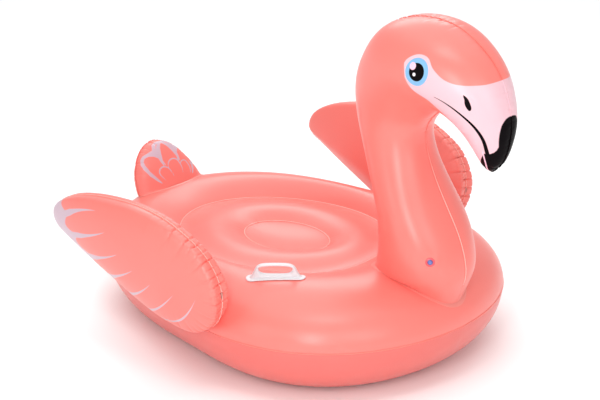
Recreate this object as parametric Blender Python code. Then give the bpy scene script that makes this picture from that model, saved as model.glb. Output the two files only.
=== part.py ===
"""Inflatable ride-on pool float in the shape of a flamingo.

Welded film panels (ring, seat, neck and head, wings, tail), two moulded grab
handles and five inflation valves, each its own solid.  Metres, +Z up, +X is the
way the bird faces, +Y its left.  The float stands on its flat underside, z = 0.
"""
import math

import bmesh
import bpy
import numpy as np
from mathutils import Matrix, Vector
from mathutils.bvhtree import BVHTree

# ---------------------------------------------------------------- dimensions
FILM = 0.0004            # film thickness
GAP = 0.0004             # clearance between neighbouring pieces
CENTRE = (0.1229, 0.0)     # plan position of the middle of the whole float

# ring (main chamber)
RING_X = (0.6788, 0.0451, 0.0463)   # equator outline, cosine terms
RING_Y = (0.5875, 0.0717, 0.0671)   # equator outline, sine terms
RING_Z = 0.191           # height of the equator weld
RING_TOP = 0.3466        # height of the crown
RING_CROWN = 0.575       # crown position as a share of the way to the seat weld
RING_SHOULDER = 1.65     # how evenly the crown falls to the seat weld
RING_FOOT = 0.225        # how far the underside curves in before it lies flat
RING_SEG = 60

# seat
SEAT_X = (0.0685, 0.3710, -0.0861, 0.0072)  # seat weld: middle, cosine terms
SEAT_Y = (0.3085, -0.0608)          # seat weld outline, sine terms
SEAT_Z = 0.2957          # height of the seat weld
SEAT_PUFF = 0.030        # rise of the cushion towards the pad
SEAT_DIP = 0.006         # fall of the cushion just inside the seat weld
PAD_MID = 0.0117
PAD_A, PAD_B = 0.1635, 0.1195       # half axes of the pad weld
PAD_Z = 0.2928
PAD_DISH = 0.022         # depth of the dished pad
SEAT_FLOOR = 0.060       # height of the underside of the seat chamber

# neck and head: pairs of edge points in the middle plane and a half width
# (rear/top x, z, front/under x, z, half width)
NECK = (
    (0.430, 0.310, 0.742, 0.300, 0.122),
    (0.452, 0.372, 0.770, 0.352, 0.140),
    (0.462, 0.440, 0.768, 0.420, 0.150),
    (0.459, 0.530, 0.735, 0.505, 0.150),
    (0.432, 0.622, 0.684, 0.590, 0.138),
    (0.395, 0.715, 0.634, 0.680, 0.120),
    (0.364, 0.800, 0.604, 0.765, 0.111),
    (0.348, 0.886, 0.606, 0.822, 0.115),
    (0.358, 0.975, 0.628, 0.858, 0.131),
    (0.394, 1.056, 0.650, 0.880, 0.146),
    (0.442, 1.118, 0.668, 0.893, 0.157),
    (0.512, 1.160, 0.688, 0.900, 0.163),
    (0.612, 1.178, 0.712, 0.898, 0.160),
    (0.712, 1.165, 0.742, 0.884, 0.148),
    (0.800, 1.120, 0.772, 0.858, 0.129),
    (0.866, 1.058, 0.797, 0.826, 0.107),
    (0.908, 0.980, 0.816, 0.792, 0.084),
    (0.926, 0.900, 0.829, 0.764, 0.062),
    (0.918, 0.825, 0.838, 0.748, 0.042),
    (0.896, 0.768, 0.847, 0.739, 0.024),
    (0.868, 0.738, 0.858, 0.734, 0.008),
)
NECK_ROWS, NECK_COLS = 38, 12

# wings: pairs of edge points (upper x, up, lower x, up, half thickness),
# "up" is measured from the hinge line along the leaning wing
WING_ROOT_Y, WING_ROOT_Z = 0.583, 0.172
WING_HINGE_UP = 0.014    # hinge line up the wing
WING_LEAN = 9.0          # degrees outwards from upright
WING = (
    (-0.447, 0.285, -0.449, 0.262, 0.006),
    (-0.425, 0.318, -0.430, 0.236, 0.024),
    (-0.380, 0.352, -0.380, 0.212, 0.040),
    (-0.300, 0.384, -0.295, 0.172, 0.053),
    (-0.200, 0.406, -0.200, 0.128, 0.062),
    (-0.090, 0.418, -0.100, 0.082, 0.067),
    (0.015, 0.417, 0.000, 0.040, 0.069),
    (0.110, 0.400, 0.095, 0.018, 0.067),
    (0.190, 0.368, 0.175, 0.018, 0.060),
    (0.250, 0.330, 0.235, 0.045, 0.054),
    (0.288, 0.284, 0.278, 0.085, 0.046),
    (0.306, 0.242, 0.303, 0.137, 0.034),
    (0.3140, 0.205, 0.3130, 0.178, 0.006),
)
WING_ROWS, WING_COLS = 30, 6
WING_INNER = 0.75        # inner panel bulge as a share of the outer one

# tail: pairs of edge points across (right y, up, left y, up, half thickness)
TAIL_ROOT_X, TAIL_ROOT_Z = -0.560, 0.335
TAIL_LEAN = 31.0         # degrees backwards from upright
TAIL = (
    (-0.150, -0.010, 0.150, -0.010, 0.046),
    (-0.140, 0.050, 0.136, 0.044, 0.047),
    (-0.116, 0.098, 0.112, 0.092, 0.042),
    (-0.082, 0.138, 0.082, 0.134, 0.033),
    (-0.044, 0.162, 0.046, 0.160, 0.022),
    (-0.008, 0.172, 0.010, 0.172, 0.008),
)
TAIL_ROWS, TAIL_COLS = 14, 8

# grab handles
HANDLE_ANGLE = -77.0     # position round the seat weld, degrees
HANDLE_OUT = 0.132       # distance outside the seat weld
HANDLE_TURN = 6.0        # degrees away from the direction of the weld
HANDLE_LEN, HANDLE_WID, HANDLE_PLATE = 0.190, 0.040, 0.0030
HANDLE_RIDGE = 0.0105    # height of the web under the finger slot
HANDLE_LIFT = 0.0016     # underside of the plate above the film
HANDLE_TILT_MIX = 0.7    # 1 stands square off the film, 0 upright
GRIP = ((-0.0690, 0.0016), (-0.0665, 0.016), (-0.0590, 0.031), (-0.0470, 0.0410),
        (-0.0260, 0.0440), (0.0, 0.0445), (0.0260, 0.0440), (0.0470, 0.0410),
        (0.0590, 0.031), (0.0665, 0.016), (0.0690, 0.0016))
GRIP_T, GRIP_W = 0.0044, 0.0085     # half thickness and half width of the grip

# valves (radii and lengths)
V_BORE, V_COLLAR, V_FLANGE = 0.0063, 0.0075, 0.0150
V_DEPTH, V_FLANGE_T = 0.0160, 0.0012
STEM_BORE, STEM_R, STEM_LIP, STEM_LIP_T = 0.0040, 0.0059, 0.0085, 0.0010
PLUG_R, PLUG_CAP, PLUG_CAP_T, PLUG_LEN = 0.0036, 0.0062, 0.0016, 0.0080
V_SEG = 16

COLOURS = {
    "film": (0.93, 0.31, 0.27, 1.0),
    "film_low": (0.84, 0.24, 0.21, 1.0),
    "white": (0.86, 0.85, 0.88, 1.0),
    "valve": (0.42, 0.46, 0.72, 1.0),
}

for ob in list(bpy.data.objects):
    bpy.data.objects.remove(ob, do_unlink=True)


# ------------------------------------------------------------------- helpers
def spline(ctrl, n, spacing=None):
    """n samples of a smooth curve through the rows of ctrl (any width)."""
    c = np.asarray(ctrl, float)
    m = len(c)
    d = np.sqrt(np.linalg.norm(np.diff(c[:, :4 if c.shape[1] > 4 else None], axis=0), axis=1))
    k = np.concatenate([[0.0], np.cumsum(d)])
    # natural cubic through the knots
    h = np.diff(k)
    a = np.zeros((m, m))
    r = np.zeros((m, c.shape[1]))
    a[0, 0] = a[-1, -1] = 1.0
    for i in range(1, m - 1):
        a[i, i - 1], a[i, i], a[i, i + 1] = h[i - 1], 2 * (h[i - 1] + h[i]), h[i]
        r[i] = 6 * ((c[i + 1] - c[i]) / h[i] - (c[i] - c[i - 1]) / h[i - 1])
    s = np.linalg.solve(a, r)
    t = np.linspace(0.0, 1.0, n) if spacing is None else np.asarray(spacing)
    t = t * k[-1]
    j = np.clip(np.searchsorted(k, t, side="right") - 1, 0, m - 2)
    u, v, w = (t - k[j])[:, None], (k[j + 1] - t)[:, None], h[j][:, None]
    return (s[j] * v ** 3 / (6 * w) + s[j + 1] * u ** 3 / (6 * w)
            + (c[j] / w - s[j] * w / 6) * v + (c[j + 1] / w - s[j + 1] * w / 6) * u)


def ring_xy(theta):
    x = sum(a * np.cos((i + 1) * theta) for i, a in enumerate(RING_X))
    y = sum(b * np.sin((i + 1) * theta) for i, b in enumerate(RING_Y))
    return np.stack([x, y], -1)


def seat_xy(theta):
    x = sum(a * np.cos(i * theta) for i, a in enumerate(SEAT_X))
    y = SEAT_Y[0] * np.sin(theta) + SEAT_Y[1] * np.sin(2 * theta)
    return np.stack([x, y], -1)


def pad_xy(theta):
    return np.stack([PAD_MID + PAD_A * np.cos(theta), PAD_B * np.sin(theta)], -1)


def rows(*layers):
    """Stack rings of points, each (n, 3), into an (m, n, 3) array."""
    return np.stack(layers)


def at_z(xy, z):
    return np.concatenate([xy, np.full((len(xy), 1), z)], 1)


def surface(grid, wrap=False, pole_last=False, pole=None):
    """Verts and quads of a grid; wrap joins the columns into a ring."""
    m, n = grid.shape[:2]
    verts = [tuple(p) for p in grid.reshape(-1, 3)]
    faces = []
    cols = n if wrap else n - 1
    for i in range(m - 1):
        for j in range(cols):
            k = (j + 1) % n
            faces.append((i * n + j, i * n + k, (i + 1) * n + k, (i + 1) * n + j))
    if pole_last:
        verts.append(tuple(grid[-1].mean(axis=0)) if pole is None else tuple(pole))
        p = len(verts) - 1
        for j in range(cols):
            faces.append(((m - 1) * n + j, (m - 1) * n + (j + 1) % n, p))
    return verts, faces


def film_mesh(verts, faces, thick=FILM, outward=None):
    """Closed thin shell: the given faces are its outer side."""
    bm = bmesh.new()
    vs = [bm.verts.new(v) for v in verts]
    for f in faces:
        try:
            bm.faces.new([vs[i] for i in f])
        except ValueError:
            pass
    bmesh.ops.remove_doubles(bm, verts=bm.verts, dist=1e-6)
    bmesh.ops.dissolve_degenerate(bm, edges=bm.edges, dist=1e-6)
    bmesh.ops.triangulate(bm, faces=bm.faces, quad_method="SHORT_EDGE")
    bmesh.ops.recalc_face_normals(bm, faces=bm.faces)
    bm.normal_update()
    if outward is not None:
        best = max(bm.faces, key=lambda f: f.calc_area())
        if best.normal.dot(outward(best.calc_center_median())) < 0:
            bmesh.ops.reverse_faces(bm, faces=bm.faces)
            bm.normal_update()
    bm.verts.ensure_lookup_table()
    bm.verts.index_update()
    outer = list(bm.verts)
    off = {v: bm.verts.new(v.co - v.normal * thick) for v in outer}
    edges = [e for e in bm.edges if len(e.link_faces) == 1]
    rim = []
    for e in edges:
        loop = e.link_loops[0]
        rim.append((loop.vert, loop.link_loop_next.vert))
    for f in list(bm.faces):
        bm.faces.new([off[v] for v in reversed(f.verts)])
    for p, q in rim:
        bm.faces.new((q, p, off[p], off[q]))
    return bm


def material(name, kind):
    mat = bpy.data.materials.new(name)
    mat.use_nodes = True
    bsdf = mat.node_tree.nodes["Principled BSDF"]
    bsdf.inputs["Base Color"].default_value = COLOURS[kind]
    bsdf.inputs["Roughness"].default_value = 0.3
    return mat


def finish(name, bm, kind, origin=(0.0, 0.0, 0.0), hidden=False):
    """Turn a bmesh in float coordinates into an object about its own origin."""
    o = Vector(origin)
    bmesh.ops.translate(bm, verts=bm.verts, vec=-o)
    me = bpy.data.meshes.new(name)
    bm.to_mesh(me)
    bm.free()
    ob = bpy.data.objects.new(name, me)
    bpy.context.scene.collection.objects.link(ob)
    ob.location = o - Vector((CENTRE[0], CENTRE[1], 0.0))
    if hidden:
        ob.hide_render = True
        ob.display_type = "WIRE"
    else:
        me.materials.append(material(name + "_mat", kind))
    return ob


def boolean(ob, cutter, op):
    mod = ob.modifiers.new(op.lower() + "_" + cutter.name, "BOOLEAN")
    mod.operation = op
    mod.solver = "EXACT"
    mod.object = cutter


def lathe(profile, frame, seg=V_SEG):
    """Closed solid of revolution of a closed (r, z) profile about frame's z."""
    bm = bmesh.new()
    rings = []
    for r, z in profile:
        if r < 1e-9:
            rings.append([bm.verts.new(frame @ Vector((0, 0, z)))])
        else:
            rings.append([bm.verts.new(frame @ Vector((r * math.cos(2 * math.pi * i / seg),
                                                       r * math.sin(2 * math.pi * i / seg), z)))
                          for i in range(seg)])
    n = len(rings)
    for a in range(n):
        p, q = rings[a], rings[(a + 1) % n]
        if len(p) == 1 and len(q) == 1:
            continue
        for i in range(seg):
            j = (i + 1) % seg
            if len(p) == 1:
                bm.faces.new((p[0], q[j], q[i]))
            elif len(q) == 1:
                bm.faces.new((p[i], p[j], q[0]))
            else:
                bm.faces.new((p[i], p[j], q[j], q[i]))
    bmesh.ops.recalc_face_normals(bm, faces=bm.faces)
    return bm


def sweep(path, half, side, closed_ends=True):
    """Solid swept along path: rounded section, half = (n, 2) half sizes."""
    bm = bmesh.new()
    rings = []
    k = 10
    n = len(path)
    for i in range(n):
        t = (Vector(path[min(i + 1, n - 1)]) - Vector(path[max(i - 1, 0)])).normalized()
        if i in (0, n - 1):
            t = Vector((0, 0, 1 if i == 0 else -1))
        s = Vector(side).normalized()
        u = s.cross(t).normalized()
        ring = []
        for j in range(k):
            a = 2 * math.pi * j / k
            cx, cy = math.cos(a), math.sin(a)
            ex = math.copysign(abs(cx) ** 0.7, cx) * half[i][0]
            ey = math.copysign(abs(cy) ** 0.7, cy) * half[i][1]
            ring.append(bm.verts.new(Vector(path[i]) + s * ex + u * ey))
        rings.append(ring)
    for a, b in zip(rings, rings[1:]):
        for j in range(k):
            bm.faces.new((a[j], a[(j + 1) % k], b[(j + 1) % k], b[j]))
    if closed_ends:
        bm.faces.new(list(reversed(rings[0])))
        bm.faces.new(rings[-1])
    bmesh.ops.recalc_face_normals(bm, faces=bm.faces)
    return bm


def tree_of(bm):
    return BVHTree.FromBMesh(bm)


# ---------------------------------------------------------------- ring panels
TH = np.linspace(0.0, 2 * math.pi, RING_SEG, endpoint=False)
EQ, SW, PW = ring_xy(TH), seat_xy(TH), pad_xy(TH)
CHORD = np.linalg.norm(SW - EQ, axis=1)
INWARD = (SW - EQ) / CHORD[:, None]


def ring_top_layers(count):
    """Rings of points from the equator weld over the crown to the seat weld."""
    rise = RING_TOP - RING_Z
    out = []
    outer = (count * 3) // 5
    for i in range(count):
        if i <= outer:           # quarter ellipse up to the crown
            ph = 0.5 * math.pi * i / outer
            step = CHORD * RING_CROWN * (1.0 - math.cos(ph))
            z = RING_Z + GAP * 0.5 + (rise - GAP * 0.5) * math.sin(ph)
        else:                    # shoulder down to the seat weld
            g = (i - outer) / (count - 1 - outer)
            step = CHORD * (RING_CROWN + (1.0 - RING_CROWN) * g)
            z = RING_TOP - (RING_TOP - SEAT_Z - 0.0006) * g ** RING_SHOULDER
        if i == count - 1:
            step = CHORD - 0.0006
        out.append(at_z(EQ + INWARD * step[:, None], z))
    return out


def ring_bottom_layers(count):
    """Equator weld down and in to the flat underside."""
    out = []
    for i in range(count):
        ph = 0.5 * math.pi * i / (count - 1)
        xy = EQ + INWARD * (RING_FOOT * (1.0 - math.cos(ph)))
        z = (RING_Z - GAP * 0.5) * (1.0 - math.sin(ph))
        out.append(at_z(xy, z))
    mid = np.array([0.03, 0.0])
    last = out[-1][:, :2]
    for f in (0.30, 0.65):
        out.append(at_z(last + (mid - last) * f, 0.0))
    return out


def cushion_height(g):
    """Height of the seat film above the line between its welds, g from 0 to 1."""
    crest = SEAT_PUFF * math.sin(math.pi * g ** 1.2)
    dip = SEAT_DIP * math.sin(math.pi * (1.0 - g) ** 2.6)
    return crest - dip


def cushion_layers(a, b, za, zb, count, inset=0.0006):
    """Shaped film between two welds a (outer) and b (inner)."""
    unit = (b - a) / np.linalg.norm(b - a, axis=1, keepdims=True)
    out = []
    for i in range(count):
        g = 0.5 * (1 - math.cos(math.pi * i / (count - 1)))
        xy = a + (b - a) * g
        if i == 0:
            xy = a + unit * inset
        if i == count - 1:
            xy = b - unit * inset
        out.append(at_z(xy, za + (zb - za) * g + cushion_height(g)))
    return out


up = lambda p: Vector((0, 0, 1))
down = lambda p: Vector((0, 0, -1))

bm = film_mesh(*surface(rows(*ring_top_layers(10)), wrap=True), outward=up)
TREE_TOP = tree_of(bm)
body_top = finish("body_top_panel", bm, "film")

bm = film_mesh(*surface(rows(*ring_bottom_layers(6)), wrap=True, pole_last=True), outward=down)
TREE_BOTTOM = tree_of(bm)
body_bottom = finish("body_bottom_panel", bm, "film_low")

bm = film_mesh(*surface(rows(*cushion_layers(SW, PW, SEAT_Z, PAD_Z, 7)), wrap=True), outward=up)
TREE_SEAT = tree_of(bm)
seat_top = finish("seat_top_panel", bm, "film")

pad = []
for i in range(4):
    f = i / 4.0
    xy = np.array([PAD_MID, 0.0]) + (PW - np.array([PAD_MID, 0.0])) * (1.0 - f) * (1.0 - (0.006 if i == 0 else 0.0))
    pad.append(at_z(xy, PAD_Z - PAD_DISH * (1.0 - (1.0 - f) ** 2) ** 0.9))
bm = film_mesh(*surface(rows(*pad), wrap=True, pole_last=True), outward=up)
finish("seat_pad_top", bm, "film")

wall = []
for i in range(4):
    f = i / 3.0
    k = 0.985 - 0.05 * math.sin(math.pi * f)
    xy = np.array([PAD_MID, 0.0]) + (PW - np.array([PAD_MID, 0.0])) * k
    z = PAD_Z - 0.0030 - (PAD_Z - 0.0030 - SEAT_FLOOR - 0.0012) * f
    wall.append(at_z(xy, z))
mid = lambda p: Vector((p.x - PAD_MID, p.y, 0))
bm = film_mesh(*surface(rows(*wall), wrap=True), outward=mid)
finish("seat_baffle", bm, "film")

bowl = []
for i in range(4):
    f = i / 3.0
    k = SW + (PW * 1.08 - SW) * (1 - math.cos(0.5 * math.pi * f))
    if i == 0:
        k = SW + (PW - SW) / np.linalg.norm(PW - SW, axis=1)[:, None] * 0.0015
    bowl.append(at_z(k, SEAT_Z - 0.0030 - (SEAT_Z - 0.0030 - SEAT_FLOOR) * math.sin(0.5 * math.pi * f)))
bowl.append(at_z(np.array([PAD_MID, 0.0]) + (PW - np.array([PAD_MID, 0.0])) * 0.5, SEAT_FLOOR))
bm = film_mesh(*surface(rows(*bowl), wrap=True, pole_last=True), outward=down)
finish("seat_bottom_panel", bm, "film_low")


# -------------------------------------------------------------- lofted panels
def drop(x, y, trees, lift):
    """Height of the film under (x, y) plus a lift."""
    z = None
    for t in trees:
        hit = t.ray_cast(Vector((x, y, 1.0)), Vector((0, 0, -1)))
        if hit[0] is not None:
            z = hit[0].z if z is None else max(z, hit[0].z)
    return (z if z is not None else 0.0) + lift


def ease(n, start=0.0, end=1.0):
    """Spacing from 0 to 1, bunched towards the ends as asked (0 none, 1 full)."""
    u = np.linspace(0, 1, n)
    both = 0.5 * (1 - np.cos(math.pi * u))
    last = np.sin(0.5 * math.pi * u)
    return u * (1 - end) + end * (both * start + last * (1 - start))


# neck and head: one panel each side of the middle plane
st = spline(NECK, NECK_ROWS, ease(NECK_ROWS, 0.0, 0.45))
al = np.linspace(0.0, math.pi, NECK_COLS + 1)


def neck_grid(sign, lift):
    g = np.zeros((NECK_ROWS, NECK_COLS + 1, 3))
    for i, (ox, oz, ix, iz, w) in enumerate(st):
        for j, a in enumerate(al):
            u = 0.5 * (1 - math.cos(a))
            g[i, j] = (ix + (ox - ix) * u,
                       sign * (GAP * 0.5 + FILM + max(w, 0.0) * math.sin(a) ** 0.92 if 0 < j < NECK_COLS else GAP * 0.5 + FILM),
                       iz + (oz - iz) * u)
    for j in range(NECK_COLS + 1):
        g[0, j, 2] = drop(g[0, j, 0], g[0, j, 1], (TREE_TOP, TREE_SEAT), lift)
    # let the first rows fan smoothly from the base curve
    for i in (1, 2):
        f = (1.0, 0.45, 0.12)[i]
        shift = g[0, :, 2] - (NECK[0][3] + (NECK[0][1] - NECK[0][3]) * 0.5 * (1 - np.cos(al)))
        g[i, :, 2] += shift * f
    return g


for side, sgn in (("left", 1.0), ("right", -1.0)):
    g = neck_grid(sgn, 0.0022)
    v, f = surface(g, pole_last=True)
    bm = film_mesh(v, f, outward=lambda p, s=sgn: Vector((0, s, 0)))
    if sgn > 0:
        TREE_NECK_L = tree_of(bm)
    else:
        TREE_NECK_R = tree_of(bm)
    neck = finish("neck_%s_panel" % side, bm, "film")
    if sgn > 0:
        neck_left = neck
    else:
        neck_right = neck

base = []
c0 = np.array([(NECK[0][0] + NECK[0][2]) / 2, 0.0])
half_x, half_y = (NECK[0][2] - NECK[0][0]) / 2 - 0.010, NECK[0][4] - 0.012
ANG = np.linspace(0, 2 * math.pi, 28, endpoint=False)
for k in (1.0, 0.75, 0.5, 0.25):
    pts = []
    for a in ANG:
        sx = math.copysign(abs(math.cos(a)), math.cos(a))
        x, y = c0[0] + half_x * k * sx, half_y * k * math.sin(a)
        pts.append((x, y, drop(x, y, (TREE_TOP, TREE_SEAT), 0.0050)))
    base.append(np.array(pts))
pole = (c0[0], 0.0, drop(c0[0], 0.0, (TREE_TOP, TREE_SEAT), 0.0050))
bm = film_mesh(*surface(rows(*base), wrap=True, pole_last=True, pole=pole), outward=up)
finish("neck_base_panel", bm, "film")


# wings
def wing_frame(sign, lean=WING_LEAN):
    """Hinge-line frame: columns are x, up the wing, outwards."""
    l = math.radians(lean)
    upv = Vector((0, sign * math.sin(l), math.cos(l)))
    out = Vector((0, sign * math.cos(l), -math.sin(l)))
    o = Vector((0, sign * WING_ROOT_Y, WING_ROOT_Z))
    return o, upv, out


def wing_grid(sign, face, rows_n=WING_ROWS, cols=WING_COLS):
    """face +1 is the outer panel, -1 the inner one."""
    o, upv, out = wing_frame(sign)
    w = spline(WING, rows_n, ease(rows_n, 1.0, 0.6))
    g = np.zeros((rows_n, cols + 1, 3))
    for i, (ux, uz, lx, lz, t) in enumerate(w):
        for j in range(cols + 1):
            a = math.pi * j / cols
            u = 0.5 * (1 - math.cos(a))
            b = max(t, 0.0) * math.sin(a) ** 0.75 if 0 < j < cols else 0.0
            if face < 0:         # flatter beside the ring
                b *= WING_INNER * (1.0 - 0.5 * math.exp(-(u / 0.12) ** 2))
            b = face * (GAP * 0.5 + FILM + b)
            p = o + upv * (lz + (uz - lz) * u) + out * b
            g[i, j] = (lx + (ux - lx) * u, p.y, p.z)
    return g


WING_TREES = {}
WINGS = {}
for side, sgn in (("left", 1.0), ("right", -1.0)):
    for nm, face in (("outer", 1.0), ("inner", -1.0)):
        g = wing_grid(sgn, face)
        v, f = surface(g)
        o, upv, out = wing_frame(sgn)
        bm = film_mesh(v, f, outward=lambda p, q=out * face: q)
        WING_TREES[side, nm] = tree_of(bm)
        WINGS[side, nm] = finish("wing_%s_%s_panel" % (side, nm), bm, "film",
                                 origin=(0.05, *(o + upv * WING_HINGE_UP)[1:]))


# tail
def tail_grid(face, rows_n=TAIL_ROWS, cols=TAIL_COLS, lift=0.0024):
    """face +1 is the front panel, -1 the rear one."""
    l = math.radians(TAIL_LEAN)
    o = Vector((TAIL_ROOT_X, 0, TAIL_ROOT_Z))
    upv = Vector((-math.sin(l), 0, math.cos(l)))
    nrm = Vector((math.cos(l), 0, math.sin(l)))
    w = spline(TAIL, rows_n, ease(rows_n, 0.0, 0.7))
    g = np.zeros((rows_n, cols + 1, 3))
    for i, (ry, rz, ly, lz, t) in enumerate(w):
        for j in range(cols + 1):
            a = math.pi * j / cols
            u = 0.5 * (1 - math.cos(a))
            b = max(t, 0.0) * math.sin(a) ** 0.9 if 0 < j < cols else 0.0
            p = o + upv * (rz + (lz - rz) * u) + nrm * (face * (GAP * 0.5 + FILM + b))
            g[i, j] = (p.x, ry + (ly - ry) * u, p.z)
    for j in range(cols + 1):
        g[0, j, 2] = drop(g[0, j, 0], g[0, j, 1], (TREE_TOP,), lift)
    for j in range(cols + 1):
        for i in (1, 2):
            g[i, j, 2] = max(g[i, j, 2], g[0, j, 2] + 0.004 * i)
    return g


TAIL_OBS, TAIL_TREES = {}, {}
l = math.radians(TAIL_LEAN)
for nm, face in (("front", 1.0), ("rear", -1.0)):
    v, f = surface(tail_grid(face))
    q = Vector((math.cos(l), 0, math.sin(l))) * face
    bm = film_mesh(v, f, outward=lambda p, q=q: q)
    TAIL_TREES[nm] = tree_of(bm)
    TAIL_OBS[nm] = finish("tail_%s_panel" % nm, bm, "film")

base = []
for k in (1.0, 0.6, 0.3):
    pts = []
    for a in np.linspace(0, 2 * math.pi, 24, endpoint=False):
        x = TAIL_ROOT_X + (TAIL[0][4] * 0.8 - 0.012) * k * math.cos(a)
        y = (TAIL[0][2] - 0.016) * k * math.sin(a)
        pts.append((x, y, drop(x, y, (TREE_TOP,), 0.0042)))
    base.append(np.array(pts))
pole = (TAIL_ROOT_X, 0.0, drop(TAIL_ROOT_X, 0.0, (TREE_TOP,), 0.0042))
bm = film_mesh(*surface(rows(*base), wrap=True, pole_last=True, pole=pole), outward=up)
finish("tail_base_panel", bm, "film")


# ------------------------------------------------------------------- handles
def handle_frame(sign):
    th = math.radians(HANDLE_ANGLE) * -sign
    e = 1e-3
    p = seat_xy(np.array([th - e, th, th + e]))
    t = Vector((*(p[2] - p[0]), 0)).normalized()
    if t.x < 0:
        t = -t
    t.rotate(Matrix.Rotation(math.radians(HANDLE_TURN) * -sign, 3, "Z"))
    n = Vector((-t.y, t.x, 0))
    if n.y * sign < 0:
        n = -n
    c = Vector((*p[1], 0)) + n * HANDLE_OUT
    return c, t, n


def handle_place(sign):
    """Map from handle coordinates (along, across, off the film) to the float."""
    c, t, n = handle_frame(sign)
    trees = (TREE_TOP, TREE_SEAT)
    hits = [tr.ray_cast(Vector((c.x, c.y, 1.0)), Vector((0, 0, -1))) for tr in trees]
    hit = max((h for h in hits if h[0] is not None), key=lambda h: h[0].z)
    z = HANDLE_TILT_MIX * hit[1] + (1.0 - HANDLE_TILT_MIX) * Vector((0, 0, 1))
    z.normalize()
    x = (t - z * t.dot(z)).normalized()
    y = z.cross(x)
    o = hit[0]

    def place(a, b, h):
        p = o + x * a + y * b
        ground = None
        for tr in trees:
            r = tr.ray_cast(p + z * 0.08, -z)
            if r[0] is not None:
                g = (r[0] - p).dot(z)
                ground = g if ground is None else max(ground, g)
        k = max(0.0, 1.0 - h / 0.05)
        return p + z * (h + HANDLE_LIFT + ground * k)

    return place, o + z * HANDLE_LIFT


def handle_mesh(sign):
    place, c = handle_place(sign)
    bm = bmesh.new()
    hl, hw = HANDLE_LEN / 2, HANDLE_WID / 2
    na, nb = 18, 6
    top, bot = {}, {}
    for i in range(na + 1):
        a = -hl + 2 * hl * (0.5 - 0.5 * math.cos(math.pi * i / na))
        end = max(0.0, abs(a) - (hl - hw)) / hw
        w = hw * math.sqrt(max(0.0, 1 - end * end)) if end > 0 else hw
        w = max(w, hw * 0.25)
        for j in range(nb + 1):
            b = -w + 2 * w * j / nb
            edge = 0.55 if j in (0, nb) or i in (0, na) else 1.0
            high = HANDLE_PLATE * edge
            if nb / 2 - 1 <= j <= nb / 2 + 1 and abs(a) < 0.070:
                high = HANDLE_RIDGE
            top[i, j] = bm.verts.new(place(a, b, high))
            bot[i, j] = bm.verts.new(place(a, b, 0.0))
    for i in range(na):
        for j in range(nb):
            bm.faces.new((top[i, j], top[i + 1, j], top[i + 1, j + 1], top[i, j + 1]))
            bm.faces.new((bot[i, j], bot[i, j + 1], bot[i + 1, j + 1], bot[i + 1, j]))
    for i in range(na):
        for j in (0, nb):
            bm.faces.new((top[i, j], bot[i, j], bot[i + 1, j], top[i + 1, j]))
    for j in range(nb):
        for i in (0, na):
            bm.faces.new((top[i, j], bot[i, j], bot[i, j + 1], top[i, j + 1]))
    bmesh.ops.triangulate(bm, faces=bm.faces)
    bmesh.ops.recalc_face_normals(bm, faces=bm.faces)
    path = spline(GRIP, 15)
    pts, half = [], []
    for i, (a, z) in enumerate(path):
        f = abs(2 * i / 14.0 - 1.0)
        pts.append((a, 0.0, z))
        half.append((GRIP_W * (1 + 0.25 * f ** 4), GRIP_T * (1 + 0.7 * f ** 4)))
    arch = sweep(pts, half, (0, 1, 0))
    for v in arch.verts:
        v.co = place(*v.co)
    bmesh.ops.triangulate(arch, faces=arch.faces)
    bmesh.ops.recalc_face_normals(arch, faces=arch.faces)
    return bm, arch, c


for side, sgn in (("left", 1.0), ("right", -1.0)):
    plate, arch, c = handle_mesh(sgn)
    ob = finish("handle_" + side, plate, "white", origin=c)
    ar = finish("handle_%s_grip_shape" % side, arch, "white", origin=c, hidden=True)
    boolean(ob, ar, "UNION")


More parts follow.
